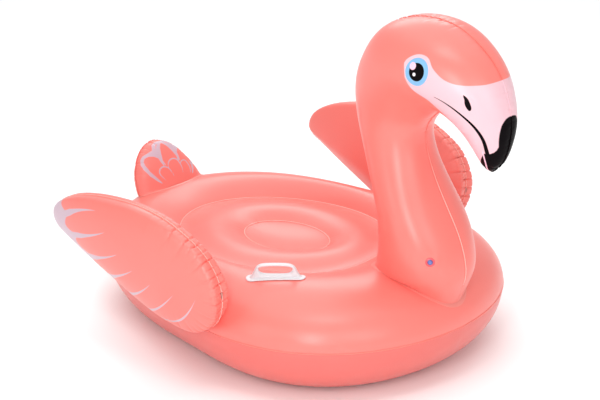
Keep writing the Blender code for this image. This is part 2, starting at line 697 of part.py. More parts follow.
# -------------------------------------------------------------------- valves
def valve(tag, obs, trees, start, direction):
    """Valve on the film hit from start along direction; returns its frame."""
    hit, nrm = None, None
    for t in trees:
        h = t.ray_cast(Vector(start), Vector(direction).normalized())
        if h[0] is not None and (hit is None or (h[0] - Vector(start)).length < (hit - Vector(start)).length):
            hit, nrm = h[0], h[1]
    if nrm.dot(Vector(direction)) > 0:
        nrm = -nrm
    z = nrm.normalized()
    x = z.orthogonal().normalized()
    y = z.cross(x)
    # seat the flange clear of the curved film
    top = 0.0
    for i in range(24):
        a = 2 * math.pi * i / 24
        for r in (0.008, 0.0115, V_FLANGE):
            p = hit + (x * math.cos(a) + y * math.sin(a)) * r + z * 0.03
            for t in trees:
                h = t.ray_cast(p, -z)
                if h[0] is not None and h[3] < 0.06:
                    top = max(top, (h[0] - hit).dot(z))
    o = hit + z * (top + GAP)
    m = Matrix((x, y, z)).transposed().to_4x4()
    m.translation = o
    cutter = lathe(((0, -0.012), (V_COLLAR + 0.0005, -0.012), (V_COLLAR + 0.0005, 0.012), (0, 0.012)), m, 24)
    for ob in obs:
        cut = finish("valve_%s_%s_hole" % (tag, ob.name), cutter.copy(), "valve", origin=o, hidden=True)
        boolean(ob, cut, "DIFFERENCE")
    cutter.free()
    t0 = V_FLANGE_T
    bm = lathe(((V_BORE, -V_DEPTH), (V_COLLAR, -V_DEPTH), (V_COLLAR, 0.0), (V_FLANGE, 0.0),
                (V_FLANGE - 0.0004, t0 * 0.7), (V_FLANGE - 0.0014, t0), (V_BORE, t0)), m)
    finish("valve_%s_base" % tag, bm, "valve", origin=o)
    s0 = t0 + 0.0003
    bm = lathe(((STEM_BORE, -V_DEPTH + 0.001), (STEM_R, -V_DEPTH + 0.001), (STEM_R, s0),
                (STEM_LIP, s0), (STEM_LIP, s0 + STEM_LIP_T), (STEM_BORE, s0 + STEM_LIP_T)), m)
    finish("valve_%s_stem" % tag, bm, "valve", origin=o)
    p0 = s0 + STEM_LIP_T + 0.0003
    bm = lathe(((0, p0 - PLUG_LEN), (PLUG_R, p0 - PLUG_LEN), (PLUG_R, p0), (PLUG_CAP, p0),
                (PLUG_CAP, p0 + PLUG_CAP_T * 0.7), (PLUG_CAP - 0.0006, p0 + PLUG_CAP_T), (0, p0 + PLUG_CAP_T)), m)
    finish("valve_%s_plug" % tag, bm, "valve", origin=o)
    return o - Vector((CENTRE[0], CENTRE[1], 0)), z


VALVES = {}
VALVES["neck"] = valve("neck", (neck_right,), (TREE_NECK_R,), (0.757, -0.5, 0.432), (-0.10, 1.0, 0.0))
VALVES["body"] = valve("body", (body_bottom,), (TREE_BOTTOM,), (-0.50, 0.90, 0.105), (0.35, -1.0, 0.10))
VALVES["tail"] = valve("tail", (TAIL_OBS["rear"],), (TAIL_TREES["rear"],), (-0.95, 0.0, 0.42), (1.0, 0.0, -0.02))
for side, sgn in (("left", 1.0), ("right", -1.0)):
    VALVES["wing_" + side] = valve("wing_" + side, (WINGS[side, "inner"],), (WING_TREES[side, "inner"],),
                                   (0.03, sgn * 0.30, 0.46), (0, sgn, 0.05))
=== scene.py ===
"""Inflatable ride-on flamingo pool float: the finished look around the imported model."""
import math

import bmesh
import bpy
import numpy as np
from mathutils import Matrix, Vector
from mathutils.bvhtree import BVHTree


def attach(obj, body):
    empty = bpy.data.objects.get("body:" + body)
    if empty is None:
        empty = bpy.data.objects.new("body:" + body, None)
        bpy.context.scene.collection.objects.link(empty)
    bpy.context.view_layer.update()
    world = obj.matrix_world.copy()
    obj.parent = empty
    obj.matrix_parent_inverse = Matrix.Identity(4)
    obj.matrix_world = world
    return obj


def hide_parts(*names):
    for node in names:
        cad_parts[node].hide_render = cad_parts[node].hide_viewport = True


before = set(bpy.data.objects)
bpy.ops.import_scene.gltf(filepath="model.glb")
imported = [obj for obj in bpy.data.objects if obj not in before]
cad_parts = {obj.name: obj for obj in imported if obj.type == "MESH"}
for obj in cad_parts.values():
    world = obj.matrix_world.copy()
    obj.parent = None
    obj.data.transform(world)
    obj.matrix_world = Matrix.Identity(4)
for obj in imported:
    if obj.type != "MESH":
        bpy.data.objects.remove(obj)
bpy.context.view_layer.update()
FINE = 1.0          # share of the full mesh density

# ------------------------------------------------------------------ the camera
AZ, EL = math.radians(42.1603), math.radians(21.1003)
BACK = Vector((math.sin(AZ) * math.cos(EL), -math.cos(AZ) * math.cos(EL), math.sin(EL)))
RIGHT = Vector((math.cos(AZ), math.sin(AZ), 0.0))
UP = BACK.cross(RIGHT)
SHIFT = Vector((0.1229, 0.0, 0.0))    # the row frame is the float's own frame less this
cam_data = bpy.data.cameras.new("camera")
cam_data.sensor_width = 36.0
cam_data.lens = 112.5
cam_data.clip_end = 200.0
cam = bpy.data.objects.new("camera", cam_data)
bpy.context.scene.collection.objects.link(cam)
rot = Matrix((RIGHT, UP, BACK)).transposed().to_4x4()
rot.translation = BACK * 6.5 + RIGHT * 0.0534 + UP * 0.3929 - SHIFT
cam.matrix_world = rot
bpy.context.scene.camera = cam
bpy.context.scene.view_settings.view_transform = "Standard"

# ------------------------------------------------------------------ dimensions
FILM, GAP = 0.0004, 0.0004
RING_X = (0.6788, 0.0451, 0.0463)
RING_Y = (0.5875, 0.0717, 0.0671)
RING_Z, RING_TOP, RING_CROWN, RING_SHOULDER, RING_FOOT = 0.191, 0.3466, 0.575, 1.65, 0.225
SEAT_X = (0.0685, 0.3710, -0.0861, 0.0072)
SEAT_Y = (0.3085, -0.0608)
SEAT_Z, SEAT_PUFF, SEAT_DIP = 0.2957, 0.030, 0.006
PAD_MID, PAD_A, PAD_B, PAD_Z, PAD_DISH = 0.0117, 0.1635, 0.1195, 0.2928, 0.022
NECK = (
    (0.430, 0.310, 0.742, 0.300, 0.122), (0.452, 0.372, 0.770, 0.352, 0.140),
    (0.462, 0.440, 0.768, 0.420, 0.150), (0.459, 0.530, 0.735, 0.505, 0.150),
    (0.432, 0.622, 0.684, 0.590, 0.138), (0.395, 0.715, 0.634, 0.680, 0.120),
    (0.364, 0.800, 0.604, 0.765, 0.111), (0.348, 0.886, 0.606, 0.822, 0.115),
    (0.358, 0.975, 0.628, 0.858, 0.131), (0.394, 1.056, 0.650, 0.880, 0.146),
    (0.442, 1.118, 0.668, 0.893, 0.157), (0.512, 1.160, 0.688, 0.900, 0.163),
    (0.612, 1.178, 0.712, 0.898, 0.160), (0.712, 1.165, 0.742, 0.884, 0.148),
    (0.800, 1.120, 0.772, 0.858, 0.129), (0.866, 1.058, 0.797, 0.826, 0.107),
    (0.908, 0.980, 0.816, 0.792, 0.084), (0.926, 0.900, 0.829, 0.764, 0.062),
    (0.918, 0.825, 0.838, 0.748, 0.042), (0.896, 0.768, 0.847, 0.739, 0.024),
    (0.868, 0.738, 0.858, 0.734, 0.008),
)
WING_ROOT_Y, WING_ROOT_Z, WING_HINGE_UP, WING_LEAN, WING_INNER = 0.583, 0.172, 0.014, 9.0, 0.75
WING = (
    (-0.447, 0.285, -0.449, 0.262, 0.006), (-0.425, 0.318, -0.430, 0.236, 0.024),
    (-0.380, 0.352, -0.380, 0.212, 0.040), (-0.300, 0.384, -0.295, 0.172, 0.053),
    (-0.200, 0.406, -0.200, 0.128, 0.062), (-0.090, 0.418, -0.100, 0.082, 0.067),
    (0.015, 0.417, 0.000, 0.040, 0.069), (0.110, 0.400, 0.095, 0.018, 0.067),
    (0.190, 0.368, 0.175, 0.018, 0.060), (0.250, 0.330, 0.235, 0.045, 0.054),
    (0.288, 0.284, 0.278, 0.085, 0.046), (0.306, 0.242, 0.303, 0.137, 0.034),
    (0.3140, 0.205, 0.3130, 0.178, 0.006),
)
TAIL_ROOT_X, TAIL_ROOT_Z, TAIL_LEAN = -0.560, 0.335, 31.0
TAIL = (
    (-0.150, -0.010, 0.150, -0.010, 0.046), (-0.140, 0.050, 0.136, 0.044, 0.047),
    (-0.116, 0.098, 0.112, 0.092, 0.042), (-0.082, 0.138, 0.082, 0.134, 0.033),
    (-0.044, 0.162, 0.046, 0.160, 0.022), (-0.008, 0.172, 0.010, 0.172, 0.008),
)
HANDLE_ANGLE, HANDLE_OUT, HANDLE_TURN, HANDLE_TILT_MIX = -77.0, 0.132, 6.0, 0.7
HANDLE_LEN, HANDLE_WID, HANDLE_PLATE, HANDLE_RIDGE, HANDLE_LIFT = 0.190, 0.040, 0.0030, 0.0105, 0.0016
ARCH = ((-0.0840, 0.0010), (-0.0780, 0.0085), (-0.0715, 0.0180), (-0.0665, 0.0285), (-0.0590, 0.0390),
        (-0.0455, 0.0460), (-0.0240, 0.0483), (0.0, 0.0489), (0.0240, 0.0483), (0.0455, 0.0460),
        (0.0590, 0.0390), (0.0665, 0.0285), (0.0715, 0.0180), (0.0780, 0.0085), (0.0840, 0.0010))
SLOT_HALF, SLOT_LOW, SLOT_MID, SLOT_TOP = 0.0535, 0.0112, 0.0290, 0.0408
GRIP_W = 0.0085
V_BORE, V_COLLAR, V_FLANGE, V_DEPTH, V_FLANGE_T = 0.0063, 0.0075, 0.0150, 0.0160, 0.0012
STEM_BORE, STEM_R, STEM_LIP, STEM_LIP_T = 0.0040, 0.0059, 0.0085, 0.0010
PLUG_R, PLUG_CAP, PLUG_CAP_T, PLUG_LEN = 0.0036, 0.0062, 0.0016, 0.0080
# valve seats: where the flange sits and which way it faces
VALVE = {
    "neck": ((0.71844, -0.11237, 0.43206), (0.579, -0.799, 0.161), "float"),
    "body": ((-0.33692, 0.43407, 0.15158), (-0.327, 0.935, -0.134), "float"),
    "tail": ((-0.65292, 0.0, 0.41392), (-0.948, 0.075, -0.308), "float"),
    "wing_left": ((0.030, 0.58166, 0.47419), (0.011, -0.977, 0.211), "wing_left"),
    "wing_right": ((0.030, -0.58166, 0.47419), (0.011, 0.977, 0.211), "wing_right"),
}


# ------------------------------------------------------------- shape functions
def spline(ctrl, n, spacing=None):
    """n samples of a smooth curve through the rows of ctrl."""
    c = np.asarray(ctrl, float)
    m = len(c)
    d = np.sqrt(np.linalg.norm(np.diff(c[:, :4 if c.shape[1] > 4 else None], axis=0), axis=1))
    k = np.concatenate([[0.0], np.cumsum(d)])
    h = np.diff(k)
    a = np.zeros((m, m))
    r = np.zeros((m, c.shape[1]))
    a[0, 0] = a[-1, -1] = 1.0
    for i in range(1, m - 1):
        a[i, i - 1], a[i, i], a[i, i + 1] = h[i - 1], 2 * (h[i - 1] + h[i]), h[i]
        r[i] = 6 * ((c[i + 1] - c[i]) / h[i] - (c[i] - c[i - 1]) / h[i - 1])
    s = np.linalg.solve(a, r)
    t = np.linspace(0.0, 1.0, n) if spacing is None else np.asarray(spacing)
    t = t * k[-1]
    j = np.clip(np.searchsorted(k, t, side="right") - 1, 0, m - 2)
    u, v, w = (t - k[j])[:, None], (k[j + 1] - t)[:, None], h[j][:, None]
    return (s[j] * v ** 3 / (6 * w) + s[j + 1] * u ** 3 / (6 * w)
            + (c[j] / w - s[j] * w / 6) * v + (c[j + 1] / w - s[j + 1] * w / 6) * u)


def ease(n, start=0.0, end=1.0):
    u = np.linspace(0, 1, n)
    both = 0.5 * (1 - np.cos(math.pi * u))
    last = np.sin(0.5 * math.pi * u)
    return u * (1 - end) + end * (both * start + last * (1 - start))


def ring_xy(t):
    return np.stack([sum(a * np.cos((i + 1) * t) for i, a in enumerate(RING_X)),
                     sum(b * np.sin((i + 1) * t) for i, b in enumerate(RING_Y))], -1)


def seat_xy(t):
    return np.stack([sum(a * np.cos(i * t) for i, a in enumerate(SEAT_X)),
                     SEAT_Y[0] * np.sin(t) + SEAT_Y[1] * np.sin(2 * t)], -1)


def pad_xy(t):
    return np.stack([PAD_MID + PAD_A * np.cos(t), PAD_B * np.sin(t)], -1)


def smooth_step(v, a, b):
    t = np.clip((v - a) / (b - a), 0, 1)
    return t * t * (3 - 2 * t)


def at_z(xy, z):
    return np.concatenate([xy, np.broadcast_to(np.asarray(z, float), (len(xy),))[:, None]], 1)


def dense(n):
    return max(8, int(round(n * FINE)))


def arc_length(path, closed=False):
    p = np.vstack([path, path[:1]]) if closed else path
    return np.concatenate([[0.0], np.cumsum(np.linalg.norm(np.diff(p, axis=0), axis=1))])


def nearest(points, path):
    """Distance from each point to a polyline, and how far along it that is."""
    along = arc_length(path)
    a, b = path[:-1], path[1:]
    ab = b - a
    ll = np.maximum((ab ** 2).sum(1), 1e-16)
    dist, where = np.empty(len(points)), np.empty(len(points))
    for k in range(0, len(points), 1500):
        p = points[k:k + 1500]
        t = np.clip(((p[:, None, :] - a[None]) * ab[None]).sum(2) / ll, 0, 1)
        gap = np.linalg.norm(p[:, None, :] - (a[None] + ab[None] * t[..., None]), axis=2)
        best = gap.argmin(1)
        r = np.arange(len(p))
        dist[k:k + 1500] = gap[r, best]
        where[k:k + 1500] = along[best] + t[r, best] * np.sqrt(ll[best])
    return dist, where


def inside(points, poly):
    x, y = points[:, 0][:, None], points[:, 1][:, None]
    x0, y0 = poly[:, 0][None], poly[:, 1][None]
    x1, y1 = np.roll(poly[:, 0], -1)[None], np.roll(poly[:, 1], -1)[None]
    cross = ((y0 > y) != (y1 > y)) & (x < (x1 - x0) * (y - y0) / np.where(y1 == y0, 1e-12, y1 - y0) + x0)
    return cross.sum(1) % 2 == 1


def signed(points, poly):
    """Signed distance to a closed outline, negative inside."""
    poly = np.asarray(poly, float)
    d, _ = nearest(points, np.vstack([poly, poly[:1]]))
    return np.where(inside(points, poly), -d, d)


def closed_curve(ctrl, n):
    """Smooth closed outline through ctrl."""
    c = np.asarray(ctrl, float)
    c = np.vstack([c[-3:], c, c[:4]])
    k = arc_length(c)
    pts = spline(c, n * 2, np.linspace(k[3] / k[-1], k[-4] / k[-1], n * 2))
    return pts


def wave(s, seed):
    """Smooth repeatable variation between about -1 and 1."""
    return (0.5 * np.sin(s * 6.1 + seed * 1.7) + 0.3 * np.sin(s * 14.3 + seed * 3.1)
            + 0.2 * np.sin(s * 33.7 + seed * 0.9))


def puckers(d, s, pitch, depth, reach, seed, mask=1.0, width=0.0032, swell_share=0.22):
    """Creases running away from a weld: d from the weld, s along it."""
    phase = s / pitch + 0.35 * wave(s, seed)
    off = np.abs(phase - np.round(phase)) * pitch
    which = np.round(phase)
    size = 0.76 + 0.24 * np.sin(which * 2.4 + seed * 1.3)
    reach_i = reach * (0.75 + 0.35 * np.sin(which * 3.7 + seed))
    crease = np.exp(-(off / (width + 0.06 * d)) ** 2)
    valley = np.exp(-(d / reach_i) ** 2)
    swell = swell_share * (np.cos(2 * math.pi * phase) - 1.0) * np.exp(-(d / (reach * 0.8)) ** 2)
    return depth * mask * (-crease * size * valley + swell)


# ------------------------------------------------------------------ mesh makers
def faces_of(m, n, wrap):
    cols = n if wrap else n - 1
    i = np.arange(m - 1)[:, None] * n
    j = np.arange(cols)[None]
    k = (j + 1) % n
    return np.stack([i + j, i + k, i + n + k, i + n + j], -1).reshape(-1, 4)


def add_field(me, name, values):
    at = me.attributes.new(name, "FLOAT", "POINT")
    at.data.foreach_set("value", np.ascontiguousarray(values, np.float32))


def settle(ob, body, nodes, mat, angle=50):
    """Apply what modifies the piece, smooth it, and fix it to its body."""
    bpy.context.view_layer.update()
    me = bpy.data.meshes.new_from_object(ob.evaluated_get(bpy.context.evaluated_depsgraph_get()))
    ob.modifiers.clear()
    old = ob.data
    ob.data = me
    bpy.data.meshes.remove(old)
    me.name = ob.name
    me.polygons.foreach_set("use_smooth", [True] * len(me.polygons))
    me.set_sharp_from_angle(angle=math.radians(angle))
    me.materials.clear()
    me.materials.append(mat)
    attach(ob, body)
    if nodes:
        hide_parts(*nodes)
    return ob


def object_from(name, verts, faces, outward=None):
    me = bpy.data.meshes.new(name)
    me.from_pydata([tuple(v) for v in np.asarray(verts).tolist()], [], [tuple(f) for f in faces])
    me.update()
    if outward is not None:
        c = np.empty(len(me.polygons) * 3)
        nrm = np.empty(len(me.polygons) * 3)
        area = np.empty(len(me.polygons))
        me.polygons.foreach_get("center", c)
        me.polygons.foreach_get("normal", nrm)
        me.polygons.foreach_get("area", area)
        want = outward(c.reshape(-1, 3))
        if (area * (nrm.reshape(-1, 3) * want).sum(1)).sum() < 0:
            me.flip_normals()
            me.update()
    ob = bpy.data.objects.new(name, me)
    bpy.context.scene.collection.objects.link(ob)
    return ob


def normals(me):
    n = np.empty(len(me.vertices) * 3)
    me.vertices.foreach_get("normal", n)
    return n.reshape(-1, 3)


def coords(me):
    c = np.empty(len(me.vertices) * 3)
    me.vertices.foreach_get("co", c)
    return c.reshape(-1, 3)


def film(name, grid, outward, body, nodes, mat, wrap=False, pole=None,
         move=None, fields=None, holes=()):
    """One film panel: a fine grid with its wrinkles, made into a thin closed shell."""
    m, n = grid.shape[:2]
    verts = grid.reshape(-1, 3) - np.array(SHIFT)
    faces = faces_of(m, n, wrap).tolist()
    if pole is not None:
        verts = np.vstack([verts, np.array(pole) - np.array(SHIFT)])
        p = len(verts) - 1
        cols = n if wrap else n - 1
        faces += [((m - 1) * n + j, (m - 1) * n + (j + 1) % n, p) for j in range(cols)]
    ob = object_from(name, verts, faces, outward)
    me = ob.data
    if move is not None:
        amount = move(verts + np.array(SHIFT))
        amount, across = amount if isinstance(amount, tuple) else (amount, 0.0)
        co = verts + normals(me) * amount[:, None] + across
        for centre, axis, radius in holes:
            # the film lies flat under the valve flange and swells a little round it
            a = np.array(Vector(axis).normalized())
            v = co + np.array(SHIFT) - np.array(centre)
            high = v @ a
            r = np.linalg.norm(v - high[:, None] * a, axis=1)
            k = np.where(np.abs(high) < 0.03, 1.0 - smooth_step(r, 0.0165, 0.0400), 0.0)
            co = co + a * (k * (-0.0006 - high) + np.where(k > 0, 0.0007 * np.exp(-((r - 0.0205) / 0.0035) ** 2), 0.0))[:, None]
        me.vertices.foreach_set("co", co.reshape(-1))
        me.update()
    for key, values in (fields(verts + np.array(SHIFT)) if fields else {}).items():
        add_field(me, key, values)
    bm = bmesh.new()
    bm.from_mesh(me)
    bmesh.ops.remove_doubles(bm, verts=bm.verts, dist=2e-6)
    bmesh.ops.dissolve_degenerate(bm, edges=bm.edges, dist=2e-6)
    for centre, axis, radius in holes:
        c, a = Vector(centre) - SHIFT, Vector(axis).normalized()
        gone = [f for f in bm.faces
                if abs((f.calc_center_median() - c).dot(a)) < 0.03
                and ((f.calc_center_median() - c) - a * (f.calc_center_median() - c).dot(a)).length < radius]
        bmesh.ops.delete(bm, geom=gone, context="FACES")
    bm.to_mesh(me)
    bm.free()
    mod = ob.modifiers.new("thickness", "SOLIDIFY")
    mod.thickness = FILM
    mod.offset = -1.0
    return settle(ob, body, nodes, mat)


def sweep(name, path, a, b, section, body, mat, closed=True, nodes=(), angle=35, scale=None, fields=None):
    """Solid swept along path; section is (n, 2) in the local directions a and b."""
    path, a, b = (np.asarray(v, float) for v in (path, a, b))
    sec = np.asarray(section, float)
    k = np.ones(len(path)) if scale is None else np.asarray(scale)
    grid = path[:, None] + (a[:, None] * sec[None, :, :1] + b[:, None] * sec[None, :, 1:]) * k[:, None, None]
    m, n = grid.shape[:2]
    g = np.vstack([grid, grid[:1]]) if closed else grid
    faces = faces_of(len(g), n, True)
    if closed:
        faces = faces % (m * n)
    faces = faces.tolist()
    if not closed:
        faces += [list(range(n))[::-1], [(m - 1) * n + i for i in range(n)]]
    ob = object_from(name, grid.reshape(-1, 3) - np.array(SHIFT), faces)
    for key, values in (fields(grid.reshape(-1, 3)) if fields else {}).items():
        add_field(ob.data, key, values)
    bm = bmesh.new()
    bm.from_mesh(ob.data)
    bmesh.ops.recalc_face_normals(bm, faces=bm.faces)
    bm.to_mesh(ob.data)
    bm.free()
    return settle(ob, body, nodes, mat, angle)


def unit(v):
    return v / np.maximum(np.linalg.norm(v, axis=-1, keepdims=True), 1e-12)


def path_frame(path, side, closed):
    """Tangent, and the direction square to both the tangent and side."""
    if closed:
        t = np.roll(path, -1, 0) - np.roll(path, 1, 0)
    else:
        t = np.gradient(path, axis=0)
    t = unit(t)
    side = np.broadcast_to(np.asarray(side, float), path.shape)
    out = unit(np.cross(t, side))
    return t, out


def rounded(w0, w1, t):
    """Section of a weld edge: from w0 under the film to w1 clear of it."""
    return [(w0, -t), (w1 - t, -t), (w1 - 0.3 * t, -0.7 * t), (w1, 0.0), (w1 - 0.3 * t, 0.7 * t), (w1 - t, t), (w0, t)]


# -------------------------------------------------------------------- materials
class Maths:
    """Shader arithmetic written as function calls."""

    def __init__(self, mat):
        self.tree = mat.node_tree

    def node(self, kind, **inputs):
        n = self.tree.nodes.new(kind)
        for key, v in inputs.items():
            self.put(v, n.inputs[key.replace("_", " ")])
        return n

    def put(self, v, socket):
        if isinstance(v, bpy.types.NodeSocket):
            self.tree.links.new(v, socket)
        else:
            socket.default_value = v

    def op(self, kind, *args, clamp=False):
        n = self.tree.nodes.new("ShaderNodeMath")
        n.operation = kind
        n.use_clamp = clamp
        for i, v in enumerate(args):
            self.put(v, n.inputs[i])
        return n.outputs[0]

    def add(self, a, b): return self.op("ADD", a, b)
    def sub(self, a, b): return self.op("SUBTRACT", a, b)
    def mul(self, a, b): return self.op("MULTIPLY", a, b)
    def div(self, a, b): return self.op("DIVIDE", a, b)
    def low(self, a, b): return self.op("MINIMUM", a, b)
    def high(self, a, b): return self.op("MAXIMUM", a, b)
    def size(self, a): return self.op("ABSOLUTE", a)

    def below(self, v, edge, soft):
        """1 where v is under edge, with a soft edge."""
        n = self.tree.nodes.new("ShaderNodeMapRange")
        n.clamp = True
        self.put(v, n.inputs["Value"])
        if isinstance(edge, bpy.types.NodeSocket):
            self.put(self.sub(edge, soft), n.inputs["From Min"])
            self.put(self.add(edge, soft), n.inputs["From Max"])
        else:
            n.inputs["From Min"].default_value = edge - soft
            n.inputs["From Max"].default_value = edge + soft
        n.inputs["To Min"].default_value = 1.0
        n.inputs["To Max"].default_value = 0.0
        return n.outputs["Result"]

    def mix(self, fac, a, b):
        n = self.tree.nodes.new("ShaderNodeMix")
        n.data_type = "RGBA"
        self.put(fac, n.inputs[0])
        self.put(a, n.inputs[6])
        self.put(b, n.inputs[7])
        return n.outputs[2]

    def field(self, name):
        n = self.tree.nodes.new("ShaderNodeAttribute")
        n.attribute_name = name
        return n.outputs["Fac"]

    def place(self):
        n = self.tree.nodes.new("ShaderNodeTexCoord")
        s = self.tree.nodes.new("ShaderNodeSeparateXYZ")
        self.tree.links.new(n.outputs["Object"], s.inputs[0])
        return n.outputs["Object"], s.outputs[0], s.outputs[1], s.outputs[2]

    def noise(self, where, scale, detail=2.0, rough=0.5):
        n = self.tree.nodes.new("ShaderNodeTexNoise")
        self.tree.links.new(where, n.inputs["Vector"])
        n.inputs["Scale"].default_value = scale
        n.inputs["Detail"].default_value = detail
        n.inputs["Roughness"].default_value = rough
        return n.outputs["Fac"]


CORAL = (0.930, 0.186, 0.155, 1.0)
# the coral darkened as painted shade for the underside of the float
CORAL_PAINTED_SHADE = (0.800, 0.140, 0.120, 1.0)
WELD = (0.840, 0.135, 0.105, 1.0)
PALE = (0.840, 0.480, 0.530, 1.0)
PALE_WING = (0.62, 0.420, 0.495, 1.0)
INK = (0.0030, 0.0015, 0.0022, 1.0)
BLUE = (0.190, 0.420, 0.680, 1.0)
BLUSH = (0.95, 0.52, 0.63, 1.0)


def vinyl(name, base=CORAL, rough=0.36, paint=None, weld=0.0, translucent=0.10, film_bump=1.0):
    """Soft calendered vinyl film; paint(m, colour) adds print, weld tints near welds."""
    mat = bpy.data.materials.new(name)
    mat.use_nodes = True
    m = Maths(mat)
    bsdf = mat.node_tree.nodes["Principled BSDF"]
    where, x, y, z = m.place()
    tone = m.noise(where, 2.4, 2.0)
    deep = tuple(c * k for c, k in zip(base[:3], (0.975, 0.90, 0.89))) + (1.0,)
    light = tuple(min(1.0, c * k) for c, k in zip(base[:3], (1.01, 1.09, 1.10))) + (1.0,)
    colour = m.mix(tone, deep, light)
    if weld:
        close = m.below(m.field("weld"), 0.0035, 0.0020)
        colour = m.mix(m.mul(close, weld), colour, WELD)
    if paint:
        colour = paint(m, colour, x, y, z)
    m.put(colour, bsdf.inputs["Base Color"])
    patchy = m.noise(where, 9.0, 4.0)
    grain = m.noise(where, 420.0, 2.0)
    r = m.add(rough - 0.05, m.add(m.mul(patchy, 0.07), m.mul(grain, 0.04)))
    m.put(r, bsdf.inputs["Roughness"])
    shade = mat.node_tree.nodes.new("ShaderNodeRGBToBW")
    m.put(colour, shade.inputs[0])
    inked = m.below(shade.outputs[0], 0.06, 0.045)
    m.put(m.sub(0.50, m.mul(inked, 0.46)), bsdf.inputs["Specular IOR Level"])
    bsdf.inputs["Subsurface Weight"].default_value = translucent
    bsdf.inputs["Subsurface Radius"].default_value = (1.0, 0.35, 0.28)
    bsdf.inputs["Subsurface Scale"].default_value = 0.012
    m.put(m.sub(0.28, m.mul(inked, 0.27)), bsdf.inputs["Coat Weight"])
    bsdf.inputs["Coat Roughness"].default_value = 0.30
    height = m.add(m.mul(m.noise(where, 7.0, 2.0), 1.0), m.add(m.mul(m.noise(where, 26.0, 3.0), 0.16), m.mul(grain, 0.004)))
    bump = mat.node_tree.nodes.new("ShaderNodeBump")
    bump.inputs["Strength"].default_value = 0.32 * film_bump
    bump.inputs["Distance"].default_value = 0.0040
    m.put(height, bump.inputs["Height"])
    m.put(bump.outputs["Normal"], bsdf.inputs["Normal"])
    return mat


def head_paint(m, colour, x, y, z):
    """Beak patch, eye, mouth, nostril and black beak tip."""
    fx = m.add(x, SHIFT.x)
    colour = m.mix(m.below(m.field("patch"), 0.0, 0.0006), colour, PALE)
    # the eye is a circle seen through a sheared pair of axes
    ex, ez = m.sub(fx, 0.681), m.sub(z, 1.0500)
    a1, b1, a2, b2 = 0.0377, 0.0060, -0.0045, 0.0420
    det = a1 * b2 - a2 * b1
    u = m.sub(m.mul(ex, b2 / det), m.mul(ez, a2 / det))
    v = m.sub(m.mul(ez, a1 / det), m.mul(ex, b1 / det))

    def disc(cu, cv, r, soft=0.012):
        du, dv = m.sub(u, cu), m.sub(v, cv)
        return m.below(m.op("SQRT", m.add(m.mul(du, du), m.mul(dv, dv))), r, soft)
    colour = m.mix(disc(0.0, 0.0, 1.0), colour, BLUE)
    colour = m.mix(disc(0.0, 0.0, 0.655), colour, INK)
    colour = m.mix(disc(-0.33, 0.44, 0.27), colour, BLUSH)
    colour = m.mix(disc(-0.20, -0.15, 0.13), colour, (0.93, 0.80, 0.87, 1.0))
    # mouth line thickens towards the tip
    along = m.field("mouth_s")
    width = m.add(0.0006, m.mul(m.op("POWER", m.high(along, 0.0001), 0.75), 0.0054))
    line = m.below(m.size(m.field("mouth_d")), width, 0.0005)
    ends = m.mul(m.below(along, 0.999, 0.002), m.op("SUBTRACT", 1.0, m.below(along, 0.001, 0.002)))
    colour = m.mix(m.mul(line, ends), colour, INK)
    colour = m.mix(m.below(m.field("nostril"), 0.0, 0.0005), colour, INK)
    colour = m.mix(m.below(m.field("tip"), 0.0, 0.0006), colour, INK)
    lip_run = m.mul(m.below(m.field("lip_s"), 1.02, 0.01), m.sub(1.0, m.below(m.field("lip_s"), -0.01, 0.01)))
    colour = m.mix(m.mul(m.below(m.size(m.field("lip_d")), 0.0022, 0.0005), lip_run), colour, BLUSH)
    return colour


def crest_paint(m, colour, x, y, z):
    """The long seam: pale down the neck (its own paler weld tone and a painted highlight), red over the crown, printed
    with the beak.
    """
    front = m.sub(1.0, m.below(x, 0.400 - SHIFT.x, 0.030))
    # pale front of the seam below the head: partly the weld's paler tone, partly a painted highlight
    colour = m.mix(m.mul(m.below(z, 0.72, 0.10), front), colour, (0.97, 0.47, 0.42, 1.0))
    colour = m.mix(m.below(m.field("patch"), 0.0, 0.0010), colour, (0.93, 0.50, 0.56, 1.0))
    return m.mix(m.below(m.field("tip"), 0.0, 0.0010), colour, INK)


def wing_paint(m, colour, x, y, z):
    """Feather tips: scallops along the rear edge with a tapering line between each."""
    s, d = m.field("feather_s"), m.field("feather_d")
    frac = m.sub(s, m.op("FLOOR", s))
    two = m.sub(m.mul(frac, 2.0), 1.0)
    bulge = m.op("POWER", m.high(m.sub(1.0, m.mul(two, two)), 0.0), 0.70)
    depth = m.sub(0.46, m.mul(s, 0.028))
    outer = m.below(d, m.mul(m.mul(bulge, depth), -1.0), 0.006)
    near = m.sub(0.5, m.size(m.sub(frac, 0.5)))            # distance to the nearest whole s
    taper = m.op("POWER", m.high(m.sub(1.0, d), 0.0), 0.85)
    web = m.mul(m.op("POWER", m.op("MINIMUM", taper, 1.0), 7.0), 0.045)     # widens into the scallops
    width = m.add(m.mul(taper, 0.080), web)
    line = m.mul(m.below(near, width, 0.006), m.mul(m.below(d, 1.0, 0.01), m.sub(1.0, m.below(d, -0.35, 0.01))))
    span = m.mul(m.below(s, 7.06, 0.004), m.sub(1.0, m.below(s, -0.6, 0.01)))
    return m.mix(m.mul(m.high(outer, line), span), colour, PALE_WING)


def tail_paint(m, colour, x, y, z):
    return m.mix(m.below(m.field("petal"), 0.0, 0.0005), colour, PALE_WING)


